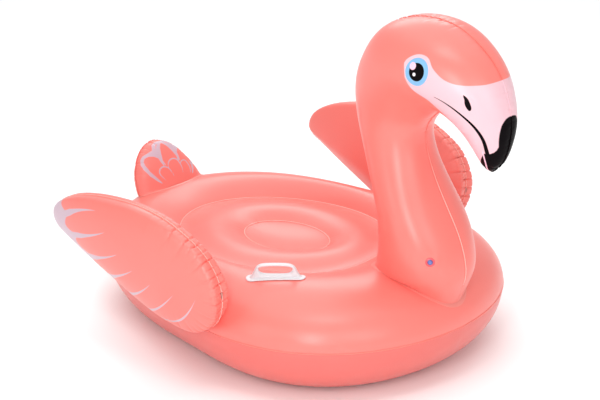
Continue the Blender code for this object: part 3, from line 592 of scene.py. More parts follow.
def moulded(name, base, rough, sss=0.0, spec=0.5):
    """Plain moulded plastic with a faint spark-eroded grain."""
    mat = bpy.data.materials.new(name)
    mat.use_nodes = True
    m = Maths(mat)
    bsdf = mat.node_tree.nodes["Principled BSDF"]
    where, x, y, z = m.place()
    tone = m.noise(where, 14.0, 3.0)
    m.put(m.mix(tone, tuple(c * 0.95 for c in base) + (1.0,), tuple(min(1.0, c * 1.03) for c in base) + (1.0,)),
          bsdf.inputs["Base Color"])
    grain = m.noise(where, 900.0, 2.0)
    m.put(m.add(rough, m.mul(m.noise(where, 60.0, 3.0), 0.08)), bsdf.inputs["Roughness"])
    bsdf.inputs["Specular IOR Level"].default_value = spec
    bsdf.inputs["Subsurface Weight"].default_value = sss
    bsdf.inputs["Subsurface Radius"].default_value = (1.0, 0.9, 1.0)
    bsdf.inputs["Subsurface Scale"].default_value = 0.003
    bump = mat.node_tree.nodes.new("ShaderNodeBump")
    bump.inputs["Strength"].default_value = 0.12
    bump.inputs["Distance"].default_value = 0.0004
    m.put(grain, bump.inputs["Height"])
    m.put(bump.outputs["Normal"], bsdf.inputs["Normal"])
    return mat


MAT = {
    "film": vinyl("film_vinyl", weld=0.55),
    # lower film: the same vinyl in the darkened coral, painted shade
    "low": vinyl("film_low_painted_shade_vinyl", CORAL_PAINTED_SHADE, rough=0.38, weld=0.4),
    "head": vinyl("head_vinyl", paint=head_paint, weld=0.45),
    "wing": vinyl("wing_vinyl", paint=wing_paint, weld=0.45),
    "tail": vinyl("tail_vinyl", paint=tail_paint, weld=0.55),
    "weld": vinyl("weld_vinyl", WELD, rough=0.30, translucent=0.2, film_bump=0.3),
    "seam": vinyl("seam_vinyl", (0.93, 0.235, 0.195, 1.0), rough=0.30, translucent=0.2, film_bump=0.3),
    # weld bead: paler than the film, partly its own translucent tone and partly a painted highlight along the ridge
    "bead": vinyl("bead_tone_and_highlight_vinyl", (0.96, 0.44, 0.39, 1.0), rough=0.28, translucent=0.2, film_bump=0.3),
    "foot": vinyl("foot_vinyl", (0.93, 0.235, 0.195, 1.0), rough=0.30, translucent=0.2, film_bump=0.3),
    "crest": vinyl("crest_vinyl", WELD, rough=0.30, translucent=0.2, film_bump=0.3, paint=crest_paint),
    "white": moulded("handle_white", (0.66, 0.675, 0.695), 0.36, sss=0.15),
    "valve": moulded("valve_blue", (0.060, 0.065, 0.230), 0.20, sss=0.10, spec=0.6),
    "flange": moulded("valve_flange", (0.74, 0.085, 0.105), 0.18, sss=0.25, spec=0.6),
    "plug": moulded("valve_plug", (0.130, 0.150, 0.420), 0.20, sss=0.10, spec=0.6),
}

UPWARDS = lambda c: np.tile((0.0, 0.0, 1.0), (len(c), 1))
DOWNWARDS = lambda c: np.tile((0.0, 0.0, -1.0), (len(c), 1))

# ------------------------------------------------------------------------- ring
TH = np.linspace(0.0, 2 * math.pi, dense(640), endpoint=False)
EQ, SW, PW = ring_xy(TH), seat_xy(TH), pad_xy(TH)
CHORD = np.linalg.norm(SW - EQ, axis=1)
INWARD = (SW - EQ) / CHORD[:, None]
EQ_S = arc_length(EQ, True)[:-1]
SW_S = arc_length(SW, True)[:-1]
PW_S = arc_length(PW, True)[:-1]
# creases show most where the ring turns tightest: front and rear
EQ_MASK = 0.25 + 0.75 * np.exp(-((((TH + 1.02 + math.pi) % (2 * math.pi)) - math.pi) / 0.42) ** 2)
EQ_MASK += 0.5 * np.exp(-((((TH - 3.1 + math.pi) % (2 * math.pi)) - math.pi) / 0.5) ** 2)


def at_theta(points, values):
    """Value given per TH column, looked up by plan angle index of each grid column."""
    return np.tile(values, int(math.ceil(len(points) / len(values))))[:len(points)]


def ring_top_grid(rows):
    rise = RING_TOP - RING_Z
    outer = (rows * 3) // 5
    g, d = [], []
    for i in range(rows):
        if i <= outer:
            ph = 0.5 * math.pi * i / outer
            step = CHORD * RING_CROWN * (1.0 - math.cos(ph))
            z = RING_Z + GAP * 0.5 + (rise - GAP * 0.5) * math.sin(ph)
        else:
            q = (i - outer) / (rows - 1 - outer)
            step = CHORD * (RING_CROWN + (1.0 - RING_CROWN) * q)
            z = RING_TOP - (RING_TOP - SEAT_Z - 0.0006) * q ** RING_SHOULDER
        if i == rows - 1:
            step = CHORD - 0.0006
        g.append(at_z(EQ + INWARD * step[:, None], z))
    return np.stack(g)


def grid_distance(grid):
    """Distance run down the rows from the first row, per vertex."""
    d = np.zeros(grid.shape[:2])
    d[1:] = np.cumsum(np.linalg.norm(np.diff(grid, axis=0), axis=2), axis=0)
    return d


TOP = ring_top_grid(dense(60))
TOP_D = grid_distance(TOP)
TOP_E = TOP_D[-1][None] - TOP_D


def ring_top_move(p):
    n = TOP.shape[0]
    s = np.tile(EQ_S, n)
    m = np.tile(EQ_MASK, n)
    a = puckers(TOP_D.reshape(-1), s, 0.0158, 0.0021, 0.017, 1.0, m, 0.0024)
    b = puckers(TOP_E.reshape(-1), np.tile(SW_S, n), 0.055, 0.0007, 0.035, 4.0, 0.6, 0.0060)
    soft = 0.0009 * wave(s * 0.8 + TOP_D.reshape(-1) * 2.0, 3.0) * np.exp(-(TOP_D.reshape(-1) / 0.12) ** 2)
    return a + b + soft


ring_top = film("ring_top_film", TOP, UPWARDS, "float", ["body_top_panel"], MAT["film"], wrap=True,
                move=ring_top_move,
                fields=lambda p: {"weld": np.minimum(TOP_D, TOP_E).reshape(-1)})


def ring_bottom_grid(rows):
    g = []
    for i in range(rows):
        ph = 0.5 * math.pi * i / (rows - 1)
        xy = EQ + INWARD * (RING_FOOT * (1.0 - math.cos(ph)))
        g.append(at_z(xy, (RING_Z - GAP * 0.5) * (1.0 - math.sin(ph))))
    mid, last = np.array([0.03, 0.0]), g[-1][:, :2]
    for f in (0.1, 0.25, 0.45, 0.7, 0.9):
        g.append(at_z(last + (mid - last) * f, 0.0))
    return np.stack(g)


LOW = ring_bottom_grid(dense(36))
LOW_D = grid_distance(LOW)


def ring_low_move(p):
    n = LOW.shape[0]
    s, d = np.tile(EQ_S, n), LOW_D.reshape(-1)
    a = puckers(d, s, 0.0158, 0.0021, 0.013, 1.0, np.tile(EQ_MASK, n), 0.0024)
    lift = np.clip(LOW[..., 2].reshape(-1) / 0.02, 0, 1)
    out = a + 0.0010 * wave(s * 0.9 + d * 3.0, 5.0) * np.exp(-((d - 0.05) / 0.10) ** 2)
    return np.append(out * lift, 0.0)


# the lower film takes the darkened coral, painted shade for the underside
ring_low = film("ring_low_film", LOW, DOWNWARDS, "float", ["body_bottom_panel"], MAT["low"],
                wrap=True, pole=(0.03, 0.0, 0.0), move=ring_low_move,
                fields=lambda p: {"weld": np.append(LOW_D.reshape(-1), 1.0)},
                holes=[(VALVE["body"][0], VALVE["body"][1], 0.0095)])

eq_path = at_z(EQ, RING_Z)
_, eq_out = path_frame(eq_path, (0, 0, 1), True)
if (eq_out * at_z(EQ, 0.0)).sum() < 0:
    eq_out = -eq_out
eq_rip = puckers(np.zeros(len(EQ)), EQ_S, 0.0158, 0.0018, 0.017, 1.0, EQ_MASK, 0.0024)
sweep("equator_weld", eq_path + eq_out * eq_rip[:, None], eq_out, np.tile((0, 0, 1.0), (len(EQ), 1)),
      rounded(-0.0030, 0.0022, 0.0008), "float", MAT["seam"])


# ------------------------------------------------------------------------- seat
def cushion_height(g):
    return (SEAT_PUFF * math.sin(math.pi * g ** 1.2)
            - SEAT_DIP * math.sin(math.pi * (1.0 - g) ** 2.6))


def seat_grid(rows, inset=0.0006):
    u = unit(PW - SW)
    g = []
    for i in range(rows):
        k = 0.5 * (1 - math.cos(math.pi * i / (rows - 1)))
        xy = SW + (PW - SW) * k
        if i == 0:
            xy = SW + u * inset
        if i == rows - 1:
            xy = PW - u * inset
        g.append(at_z(xy, SEAT_Z + (PAD_Z - SEAT_Z) * k + cushion_height(k)))
    return np.stack(g)


SEAT = seat_grid(dense(46))
SEAT_D = grid_distance(SEAT)
SEAT_E = SEAT_D[-1][None] - SEAT_D
PAD_ENDS = np.abs(np.cos(TH)) ** 6


def seat_move(p):
    n = SEAT.shape[0]
    a = puckers(SEAT_D.reshape(-1), np.tile(SW_S, n), 0.050, 0.0009, 0.030, 7.0, 0.7, 0.0055)
    b = puckers(SEAT_E.reshape(-1), np.tile(PW_S, n), 0.030, 0.0022, 0.032, 9.0,
                np.tile(0.25 + 0.75 * PAD_ENDS, n), 0.0042)
    return a + b


seat = film("seat_film", SEAT, UPWARDS, "float", ["seat_top_panel"], MAT["film"], wrap=True, move=seat_move,
            fields=lambda p: {"weld": np.minimum(SEAT_D, SEAT_E).reshape(-1)})

pad_rows = dense(24)
PADG = []
for i in range(pad_rows):
    f = 0.97 * (i / (pad_rows - 1)) ** 0.8
    xy = np.array([PAD_MID, 0.0]) + (PW - np.array([PAD_MID, 0.0])) * (1.0 - f) * (1.0 - (0.006 if i == 0 else 0.0))
    PADG.append(at_z(xy, PAD_Z - PAD_DISH * (1.0 - (1.0 - f) ** 2) ** 0.9))
PADG = np.stack(PADG)
PAD_DD = grid_distance(PADG)


def pad_move(p):
    n = PADG.shape[0]
    a = puckers(PAD_DD.reshape(-1), np.tile(PW_S, n), 0.030, 0.0020, 0.026, 9.0,
                np.tile(0.25 + 0.75 * PAD_ENDS, n), 0.0042)
    return np.append(a, 0.0)


pad = film("seat_pad_film", PADG, UPWARDS, "float", ["seat_pad_top"], MAT["film"], wrap=True,
           pole=(PAD_MID, 0.0, PAD_Z - PAD_DISH), move=pad_move,
           fields=lambda p: {"weld": np.append(PAD_DD.reshape(-1), 1.0)})

for nm, xy, z, rip in (("seat_weld", SW, SEAT_Z, 0.0008), ("pad_weld", PW, PAD_Z, 0.0010)):
    path = at_z(xy, z)
    t, out = path_frame(path, (0, 0, 1), True)
    section = [(0.0016 * math.cos(a), 0.0014 * math.sin(a)) for a in np.linspace(0, 2 * math.pi, 9)[:-1]]
    # the seat and pad beads carry the pale bead colour, partly a painted highlight
    sweep(nm, path + np.array([0, 0, 0.0004]), out, np.tile((0, 0, 1.0), (len(path), 1)), section, "float", MAT["bead"])


# ---------------------------------------------------------------- neck and head
def surface_tree(obs):
    out = []
    for ob in obs:
        me = ob.data
        out.append(BVHTree.FromPolygons([v.co for v in me.vertices], [p.vertices for p in me.polygons]))
    return out


DECK = surface_tree([ring_top, seat])


def drop(x, y, lift, trees=None):
    """Height of the deck under (x, y), in float coordinates."""
    z = None
    for t in (trees or DECK):
        h = t.ray_cast(Vector((x - SHIFT.x, y, 1.0)), Vector((0, 0, -1)))
        if h[0] is not None:
            z = h[0].z if z is None else max(z, h[0].z)
    return (z if z is not None else 0.0) + lift


NR, NC = dense(560), dense(80)
u0 = np.linspace(0.0, 1.0, NR)
spread = np.interp(u0, (0.0, 0.32, 1.0), (0.0, 0.46, 1.0))
spread = np.convolve(np.pad(spread, 20, mode="reflect", reflect_type="odd"), np.ones(41) / 41, "valid")
spread = (spread - spread[0]) / (spread[-1] - spread[0])
ST = spline(NECK, NR, spread)
AL = np.linspace(0.0, math.pi, NC + 1)
UU = 0.5 * (1 - np.cos(AL))


def neck_grid(sign, lift):
    g = np.zeros((NR, NC + 1, 3))
    ox, oz, ix, iz, w = (ST[:, k][:, None] for k in range(5))
    g[..., 0] = ix + (ox - ix) * UU
    bulge = np.maximum(w, 0.0) * np.maximum(np.sin(AL), 0.0)[None] ** 0.92
    bulge[:, (0, -1)] = 0.0
    g[..., 1] = sign * (GAP * 0.5 + FILM + bulge)
    g[..., 2] = iz + (oz - iz) * UU
    base = np.array([drop(p[0], p[1], lift) for p in g[0]])
    shift = base - g[0, :, 2]
    reach = 0.055
    below = np.maximum(0.0, 1.0 - (g[..., 2] - g[0, :, 2][None]) / reach)
    g[..., 2] += shift[None] * below ** 2
    return g


NECK_L, NECK_R = neck_grid(1.0, 0.0022), neck_grid(-1.0, 0.0022)
front_line = ST[:, 2:4]
rear_line = ST[:, 0:2]
OUTLINE = np.vstack([front_line, rear_line[::-1]])
OUT_S = arc_length(OUTLINE)
FRONT_LEN = arc_length(front_line)[-1]


def neck_mask(s, xz):
    """Where the neck and head seams gather: crown, throat and beak tip."""
    x, z = xz[:, 0], xz[:, 1]
    crown = 1.5 * np.exp(-((x - 0.545) / 0.14) ** 2) * (z > 1.03)
    nape = 0.55 * np.exp(-((x - 0.38) / 0.06) ** 2) * np.exp(-((z - 1.02) / 0.12) ** 2)
    throat = 0.55 * np.exp(-((x - 0.63) / 0.08) ** 2 - ((z - 0.85) / 0.07) ** 2)
    beak = 1.10 * np.exp(-((x - 0.865) / 0.05) ** 2 - ((z - 0.745) / 0.035) ** 2)
    ridge = 0.60 * np.exp(-((x - 0.90) / 0.05) ** 2 - ((z - 0.93) / 0.10) ** 2)
    return 0.10 + crown + nape + throat + beak + ridge


PATCH = closed_curve(((0.634, 1.047), (0.637, 1.075), (0.653, 1.092), (0.674, 1.101), (0.696, 1.100), (0.713, 1.090),
                      (0.725, 1.073), (0.739, 1.059), (0.755, 1.046), (0.775, 1.035), (0.800, 1.028), (0.829, 1.026),
                      (0.854, 1.027), (0.880, 1.031), (0.960, 1.045), (0.985, 0.900), (0.960, 0.680), (0.860, 0.660),
                      (0.790, 0.700), (0.772, 0.800), (0.775, 0.870), (0.766, 0.907), (0.751, 0.926), (0.734, 0.943),
                      (0.715, 0.963), (0.691, 0.977), (0.670, 0.989), (0.654, 1.006), (0.643, 1.026)), 160)
MOUTH = spline(((0.737, 0.982), (0.767, 0.970), (0.800, 0.950), (0.825, 0.930), (0.849, 0.906), (0.866, 0.880),
                (0.876, 0.851), (0.8785, 0.806)), 60)
NOSTRIL = closed_curve(((0.822, 0.9995), (0.8335, 0.9925), (0.844, 0.974), (0.848, 0.958), (0.8435, 0.951),
                        (0.8345, 0.960), (0.829, 0.975), (0.827, 0.988)), 40)
TIP = np.array(((0.843, 0.772), (0.852, 0.788), (0.8605, 0.800), (0.8675, 0.812), (0.876, 0.8105), (0.886, 0.8125),
                (0.896, 0.8175), (0.903, 0.825), (0.9085, 0.837), (0.9100, 0.853), (0.9130, 0.880), (0.9160, 0.905),
                (0.9205, 0.925), (0.9280, 0.938), (0.945, 0.945), (0.975, 0.930), (0.985, 0.800), (0.950, 0.690),
                (0.840, 0.690), (0.836, 0.745)))
LIP = spline(((0.8665, 0.818), (0.8655, 0.797), (0.8635, 0.772), (0.8595, 0.750), (0.8575, 0.730)), 24)


def line_field(xz, path):
    """Signed distance across a line, and its run from 0 to 1 along it (outside that past its ends)."""
    d, s = nearest(xz, path)
    total = arc_length(path)[-1]
    along = arc_length(path)
    t = unit(np.gradient(path, axis=0))
    tx = np.stack([np.interp(s, along, t[:, 0]), np.interp(s, along, t[:, 1])], -1)
    px = np.stack([np.interp(s, along, path[:, 0]), np.interp(s, along, path[:, 1])], -1)
    off = xz - px
    side = tx[:, 0] * off[:, 1] - tx[:, 1] * off[:, 0]
    over = (off * tx).sum(1)
    run = s / total + np.where((s < 1e-9) | (s > total - 1e-9), over / total, 0.0)
    return side, run


def neck_fields(p):
    xz = p[:, [0, 2]]
    d, s = nearest(xz, OUTLINE)
    far = np.abs(p[:, 1])
    md, ms = line_field(xz, MOUTH)
    ld, ls = line_field(xz, LIP)
    return {"weld": np.hypot(d, far * 0.6), "patch": signed(xz, PATCH), "nostril": signed(xz, NOSTRIL),
            "tip": signed(xz, TIP), "mouth_d": md, "mouth_s": ms, "lip_d": ld, "lip_s": ls}


def neck_move(p):
    xz = p[:, [0, 2]]
    d, s = nearest(xz, OUTLINE)
    d = np.hypot(d, 0.75 * np.maximum(0.0, np.abs(p[:, 1]) - 0.001))
    tight = np.interp(s, (0.0, 1.1, 1.35, 3.5), (0.030, 0.022, 0.016, 0.016))
    crown = puckers(d, s, 0.0180, 0.0056, 0.021, 2.0, neck_mask(s, xz), 0.0038)
    ends = np.clip(np.minimum(s, OUT_S[-1] - s) / 0.05, 0, 1)
    base = np.clip((p[:, 2] - 0.36) / 0.05, 0.0, 1.0)
    slow = 0.0010 * wave(s * 1.2, 6.0) * np.exp(-(d / 0.05) ** 2)
    return (crown + slow) * base * ends


LEFTWARDS = lambda c: np.tile((0.0, 1.0, 0.0), (len(c), 1))
RIGHTWARDS = lambda c: np.tile((0.0, -1.0, 0.0), (len(c), 1))
film("neck_left_film", NECK_L, LEFTWARDS, "float", ["neck_left_panel"], MAT["head"], move=neck_move, fields=neck_fields)
film("neck_right_film", NECK_R, RIGHTWARDS, "float", ["neck_right_panel"], MAT["head"], move=neck_move,
     fields=neck_fields, holes=[(VALVE["neck"][0], VALVE["neck"][1], 0.0095)])

# the seam up the front, over the beak and down the back
keep = OUT_S > -1
path = np.stack([OUTLINE[:, 0], np.zeros(len(OUTLINE)), OUTLINE[:, 1]], -1)
step = np.linspace(0.0, OUT_S[-1], dense(1300))
path = np.stack([np.interp(step, OUT_S, path[:, k]) for k in range(3)], -1)
for end, s0 in ((0, 1), (-1, -1)):
    z0 = drop(path[end, 0], 0.0, 0.0030)
    path[end, 2] = max(path[end, 2], z0)
path[:, 2] = np.where((np.arange(len(path)) < 60) | (np.arange(len(path)) > len(path) - 60),
                      np.maximum(path[:, 2], [drop(q[0], 0.0, 0.0030) for q in path]), path[:, 2])
t, out = path_frame(path, (0, 1, 0), False)
middle = np.array([0.62, 0.0, 0.95])
d0, s0 = np.zeros(len(path)), step
rip = puckers(d0, s0, 0.0180, 0.0052, 0.021, 2.0, neck_mask(s0, path[:, [0, 2]]), 0.0038)
poly = np.array(OUTLINE)
probe = path[:, [0, 2]] + out[:, [0, 2]] * 0.004
flip = np.where(inside(probe, poly), -1.0, 1.0)
if flip.mean() < 0:
    out = -out
sweep("neck_weld", path + out * rip[:, None], out, np.tile((0, 1.0, 0), (len(path), 1)),
      rounded(-0.0030, 0.0022, 0.0009), "float", MAT["crest"], closed=False,
      fields=lambda p: {"patch": signed(p[:, [0, 2]], PATCH), "tip": signed(p[:, [0, 2]], TIP)})


def skirt(name, loop, centre, body, mat, trees, inner=0.0045, outer=0.0080, rise=0.0034):
    """Welded flange lying on the deck round the foot of a chamber."""
    loop = np.asarray(loop)
    t = unit(np.roll(loop, -1, 0) - np.roll(loop, 1, 0))[:, :2]
    out = np.stack([t[:, 1], -t[:, 0]], -1)
    if (out * (loop[:, :2] - np.array(centre))).sum() < 0:
        out = -out
    rows = []
    for r, h in ((-inner, rise), (-inner * 0.4, rise * 0.82), (0.0012, rise * 0.62), (outer * 0.55, 0.0016), (outer * 0.9, 0.0013), (outer, 0.0006)):
        xy = loop[:, :2] + out * r
        rows.append(np.array([(q[0], q[1], drop(q[0], q[1], h, trees)) for q in xy]))
    return film(name, np.stack(rows), UPWARDS, body, [], mat, wrap=True, fields=lambda p: {"weld": np.full(len(p), 0.01)})


loop = np.vstack([NECK_L[0], NECK_R[0][::-1][1:-1]])
s = arc_length(loop, True)
n = dense(300)
q = np.linspace(0, s[-1], n, endpoint=False)
lp = np.vstack([loop, loop[:1]])
loop = np.stack([np.interp(q, s, lp[:, k]) for k in range(3)], -1)
for _ in range(3):
    loop = (np.roll(loop, 1, 0) + loop * 2 + np.roll(loop, -1, 0)) / 4
skirt("neck_foot_weld", loop, loop[:, :2].mean(0), "float", MAT["foot"], DECK)


# ------------------------------------------------------------------------ wings
def wing_frame(sign):
    l = math.radians(WING_LEAN)
    upv = np.array((0, sign * math.sin(l), math.cos(l)))
    out = np.array((0, sign * math.cos(l), -math.sin(l)))
    return np.array((0, sign * WING_ROOT_Y, WING_ROOT_Z)), upv, out


def wing_grid(sign, face, rows_n, cols):
    o, upv, out = wing_frame(sign)
    w = spline(WING, rows_n, ease(rows_n, 1.0, 0.6))
    a = np.linspace(0.0, math.pi, cols + 1)
    u = 0.5 * (1 - np.cos(a))[None]
    ux, uz, lx, lz, t = (w[:, k][:, None] for k in range(5))
    b = np.maximum(t, 0.0) * np.maximum(np.sin(a), 0.0)[None] ** 0.75
    b[:, (0, -1)] = 0.0
    if face < 0:
        b = b * WING_INNER * (1.0 - 0.5 * np.exp(-(u / 0.12) ** 2))
    b = face * (GAP * 0.5 + FILM + b)
    x = lx + (ux - lx) * u
    h = lz + (uz - lz) * u
    g = o + upv * h[..., None] + out * b[..., None]
    g[..., 0] = x
    return g, np.vstack([w[:, 0:2], w[::-1, 2:4], w[:1, 0:2]]), w


# feather lines: foot, middle and end of each, in the plane of the wing
F_FOOT = ((-0.335, 0.405), (-0.310, 0.333), (-0.272, 0.263), (-0.213, 0.199), (-0.155, 0.142), (-0.085, 0.097),
          (-0.004, 0.062), (0.080, 0.050), (0.165, 0.030))
F_MID = ((-0.285, 0.425), (-0.251, 0.357), (-0.203, 0.286), (-0.148, 0.222), (-0.082, 0.177), (-0.014, 0.133),
         (0.068, 0.102), (0.165, 0.090), (0.265, 0.080))
F_END = ((-0.225, 0.435), (-0.181, 0.374), (-0.135, 0.316), (-0.086, 0.252), (-0.022, 0.213), (0.054, 0.187),
         (0.150, 0.176), (0.240, 0.182), (0.330, 0.190))


def feather_fields(xu):
    """Which feather a point is on, and how far in from the feather's foot it lies."""
    ss = np.linspace(0.0, 8.0, 801)
    foot, mid, end = (np.stack([cubic(ss, np.array(c)[:, k]) for k in (0, 1)], -1) for c in (F_FOOT, F_MID, F_END))
    dd = np.linspace(-1.6, 1.5, 125)
    b = 4 * mid - end - 3 * foot
    c = 2 * (end + foot - 2 * mid)
    inner = np.maximum(dd, 0.0)[None, :, None]
    pts = foot[:, None] + b[:, None] * dd[None, :, None] + c[:, None] * inner ** 2
    sgrid = np.repeat(ss[:, None], len(dd), 1)
    dgrid = np.repeat(dd[None], len(ss), 0)
    # coarse search, then one linear step
    flat = pts[::8, ::4].reshape(-1, 2)
    fs, fd = sgrid[::8, ::4].reshape(-1), dgrid[::8, ::4].reshape(-1)
    s, d = np.empty(len(xu)), np.empty(len(xu))
    for k in range(0, len(xu), 1000):
        g = ((xu[k:k + 1000, None] - flat[None]) ** 2).sum(2).argmin(1)
        s[k:k + 1000], d[k:k + 1000] = fs[g], fd[g]
    for _ in range(6):
        def at(sv, dv):
            f = np.stack([np.interp(sv, ss, foot[:, k]) for k in (0, 1)], -1)
            bb = np.stack([np.interp(sv, ss, b[:, k]) for k in (0, 1)], -1)
            cc = np.stack([np.interp(sv, ss, c[:, k]) for k in (0, 1)], -1)
            return f + bb * dv[:, None] + cc * np.maximum(dv, 0.0)[:, None] ** 2
        e = 2e-3
        p0 = at(s, d)
        js, jd = (at(s + e, d) - p0) / e, (at(s, d + e) - p0) / e
        r = xu - p0
        det = js[:, 0] * jd[:, 1] - js[:, 1] * jd[:, 0]
        det = np.where(np.abs(det) < 1e-9, 1e-9, det)
        s = np.clip(s + np.clip((r[:, 0] * jd[:, 1] - r[:, 1] * jd[:, 0]) / det, -0.2, 0.2), 0.0, 8.0)
        d = np.clip(d + np.clip((js[:, 0] * r[:, 1] - js[:, 1] * r[:, 0]) / det, -0.2, 0.2), -1.6, 1.5)
    return s, d


def cubic(t, values):
    """Smooth interpolation of values given at 0, 1, 2 ..."""
    m = len(values)
    a = np.zeros((m, m))
    r = np.zeros(m)
    a[0, 0] = a[-1, -1] = 1.0
    for i in range(1, m - 1):
        a[i, i - 1], a[i, i], a[i, i + 1] = 1.0, 4.0, 1.0
        r[i] = 6 * (values[i + 1] - 2 * values[i] + values[i - 1])
    s = np.linalg.solve(a, r)
    j = np.clip(np.floor(t).astype(int), 0, m - 2)
    u, v = t - j, j + 1 - t
    return s[j] * v ** 3 / 6 + s[j + 1] * u ** 3 / 6 + (values[j] - s[j] / 6) * v + (values[j + 1] - s[j + 1] / 6) * u


def wing_mask(path_s, xu):
    """How tightly the wing seam gathers: most round the front end."""
    front = 1.0 / (1.0 + np.exp(-(xu[:, 0] - 0.100) / 0.030))
    return 0.04 + 1.10 * front


def wing_tip_mask(xu):
    """Finer gathers round the rear end."""
    return 0.85 * np.exp(-((xu[:, 0] + 0.44) / 0.085) ** 2) + 0.12 * np.exp(-((xu[:, 0] + 0.15) / 0.12) ** 2) * (xu[:, 1] > 0.25)


def wing_recess(xu):
    """How far the seam is drawn into the groove between the two films."""
    front = 1.0 / (1.0 + np.exp(-(xu[:, 0] - 0.10) / 0.05))
    upper = smooth_step(xu[:, 1], 0.18, 0.33)
    return 0.0090 * np.clip(0.15 + 0.85 * np.maximum(front, 0.62 * upper), 0, 1)


def wing_gather(d, s, xu):
    return (puckers(d, s, 0.0300, 0.0074, 0.050, 11.0, wing_mask(s, xu), 0.0026, 0.09)
            + puckers(d, s, 0.0165, 0.0036, 0.016, 3.0, wing_tip_mask(xu), 0.0024, 0.10))


for side, sgn in (("left", 1.0), ("right", -1.0)):
    body = "wing_" + side
    o, upv, out = wing_frame(sgn)

    def plane(p, o=o, upv=upv):
        return np.stack([p[:, 0], (p - o) @ upv], -1)
    for nm, face, rn, cn in (("outer", 1.0, dense(270), dense(72)), ("inner", -1.0, dense(230), dense(56))):
        g, outline, w = wing_grid(sgn, face, rn, cn)

        def move(p, outline=outline, plane=plane, face=face, o=o, out=out, upv=upv):
            xu = plane(p)
            d, s = nearest(xu, outline)
            d = np.hypot(d, 0.6 * np.abs((p - o) @ out))
            slow = 0.0012 * wave(s * 1.3, 8.0) * np.exp(-(d / 0.06) ** 2)
            along = arc_length(outline)
            tan = unit(np.gradient(outline, axis=0))
            tan = np.stack([np.interp(s, along, tan[:, k]) for k in (0, 1)], -1)
            side = np.stack([tan[:, 1], -tan[:, 0]], -1)
            if (side * (xu - outline.mean(0))).sum() < 0:
                side = -side
            crest = 0.30 + 0.55 * smooth_step(-xu[:, 0], 0.10, 0.30) * smooth_step(xu[:, 1], 0.24, 0.32)
            shift = wing_recess(xu) * (crest * np.exp(-((d - 0.027) / 0.014) ** 2) - np.exp(-(d / 0.0125) ** 2))
            across = upv * (side[:, 1] * shift)[:, None]
            across[:, 0] = side[:, 0] * shift
            return wing_gather(d, s, xu) + slow, across

        def fields(p, outline=outline, plane=plane, face=face, o=o, out=out):
            xu = plane(p)
            d, s = nearest(xu, outline)
            d = np.hypot(d, 0.6 * np.abs((p - o) @ out))
            f = {"weld": d}
            if face > 0:
                f["feather_s"], f["feather_d"] = feather_fields(xu)
            return f
        holes = [(VALVE[body][0], VALVE[body][1], 0.0095)] if face < 0 else []
        film("wing_%s_%s_film" % (side, nm), g, lambda c, v=out * face: np.tile(v, (len(c), 1)), body,
             ["wing_%s_%s_panel" % (side, nm)], MAT["wing" if face > 0 else "film"],
             move=move, fields=fields, holes=holes)
    s = arc_length(outline)
    n = dense(640)
    q = np.linspace(0, s[-1], n, endpoint=False)
    line = np.stack([np.interp(q, s, outline[:, k]) for k in (0, 1)], -1)
    for _ in range(4):
        line = (np.roll(line, 1, 0) + 2 * line + np.roll(line, -1, 0)) / 4
    tan = unit(np.roll(line, -1, 0) - np.roll(line, 1, 0))
    away = np.stack([tan[:, 1], -tan[:, 0]], -1)
    if (away * (line - line.mean(0))).sum() < 0:
        away = -away
    rip = 0.85 * wing_gather(np.zeros(n), q, line) - wing_recess(line)
    line = line + away * rip[:, None]
    path = o + upv * line[:, 1:] + 0.0
    path[:, 0] = line[:, 0]
    away3 = upv * away[:, 1:]
    away3[:, 0] = away[:, 0]
    # the wing weld carries the pale bead colour, partly a painted highlight
    sweep("wing_%s_weld" % side, path, away3, np.tile(out, (n, 1)), rounded(-0.0030, 0.0030, 0.0009), body, MAT["bead"])

# ------------------------------------------------------------------------- tail
TL = math.radians(TAIL_LEAN)
T_O = np.array((TAIL_ROOT_X, 0, TAIL_ROOT_Z))
T_UP = np.array((-math.sin(TL), 0, math.cos(TL)))
T_N = np.array((math.cos(TL), 0, math.sin(TL)))
TOP_ONLY = surface_tree([ring_top])


def tail_grid(face, rows_n, cols, lift=0.0024):
    w = spline(TAIL, rows_n, ease(rows_n, 0.0, 0.7))
    a = np.linspace(0.0, math.pi, cols + 1)
    u = 0.5 * (1 - np.cos(a))[None]
    ry, rz, ly, lz, t = (w[:, k][:, None] for k in range(5))
    b = np.maximum(t, 0.0) * np.maximum(np.sin(a), 0.0)[None] ** 0.9
    b[:, (0, -1)] = 0.0
    h = rz + (lz - rz) * u
    g = T_O + T_UP * h[..., None] + T_N * (face * (GAP * 0.5 + FILM + b))[..., None]
    g[..., 1] = ry + (ly - ry) * u
    base = np.array([drop(p[0], p[1], lift, TOP_ONLY) for p in g[0]])
    k = np.clip(1.0 - h / 0.05, 0.0, 1.0)
    g[..., 2] = np.maximum(g[..., 2], base[None] + (g[..., 2] - g[0, :, 2][None]) * 0.35)
    g[0, :, 2] = base
    return g, np.vstack([w[:, 0:2], w[::-1, 2:4]])


BAND = np.array(((0.054, 0.066), (0.059, 0.085), (0.061, 0.105), (0.055, 0.124), (0.042, 0.142), (0.026, 0.155),
                 (0.008, 0.1605), (-0.017, 0.159), (-0.030, 0.152), (-0.037, 0.140), (-0.041, 0.134), (-0.050, 0.132),
                 (-0.066, 0.129), (-0.083, 0.126), (-0.097, 0.115), (-0.106, 0.098), (-0.107, 0.077), (-0.098, 0.049),
                 (-0.080, 0.023), (-0.063, 0.007), (-0.0625, 0.010), (-0.076, 0.035), (-0.090, 0.063), (-0.095, 0.091),
                 (-0.092, 0.105), (-0.083, 0.115), (-0.066, 0.117), (-0.049, 0.111), (-0.034, 0.098), (-0.0205, 0.065),
                 (-0.0185, 0.0665), (-0.027, 0.111), (-0.023, 0.137), (-0.014, 0.149), (0.001, 0.153), (0.017, 0.148),
                 (0.030, 0.133), (0.040, 0.110), (0.047, 0.088), (0.0515, 0.067)))
T_MID = 0.0125                     # the print's own middle line
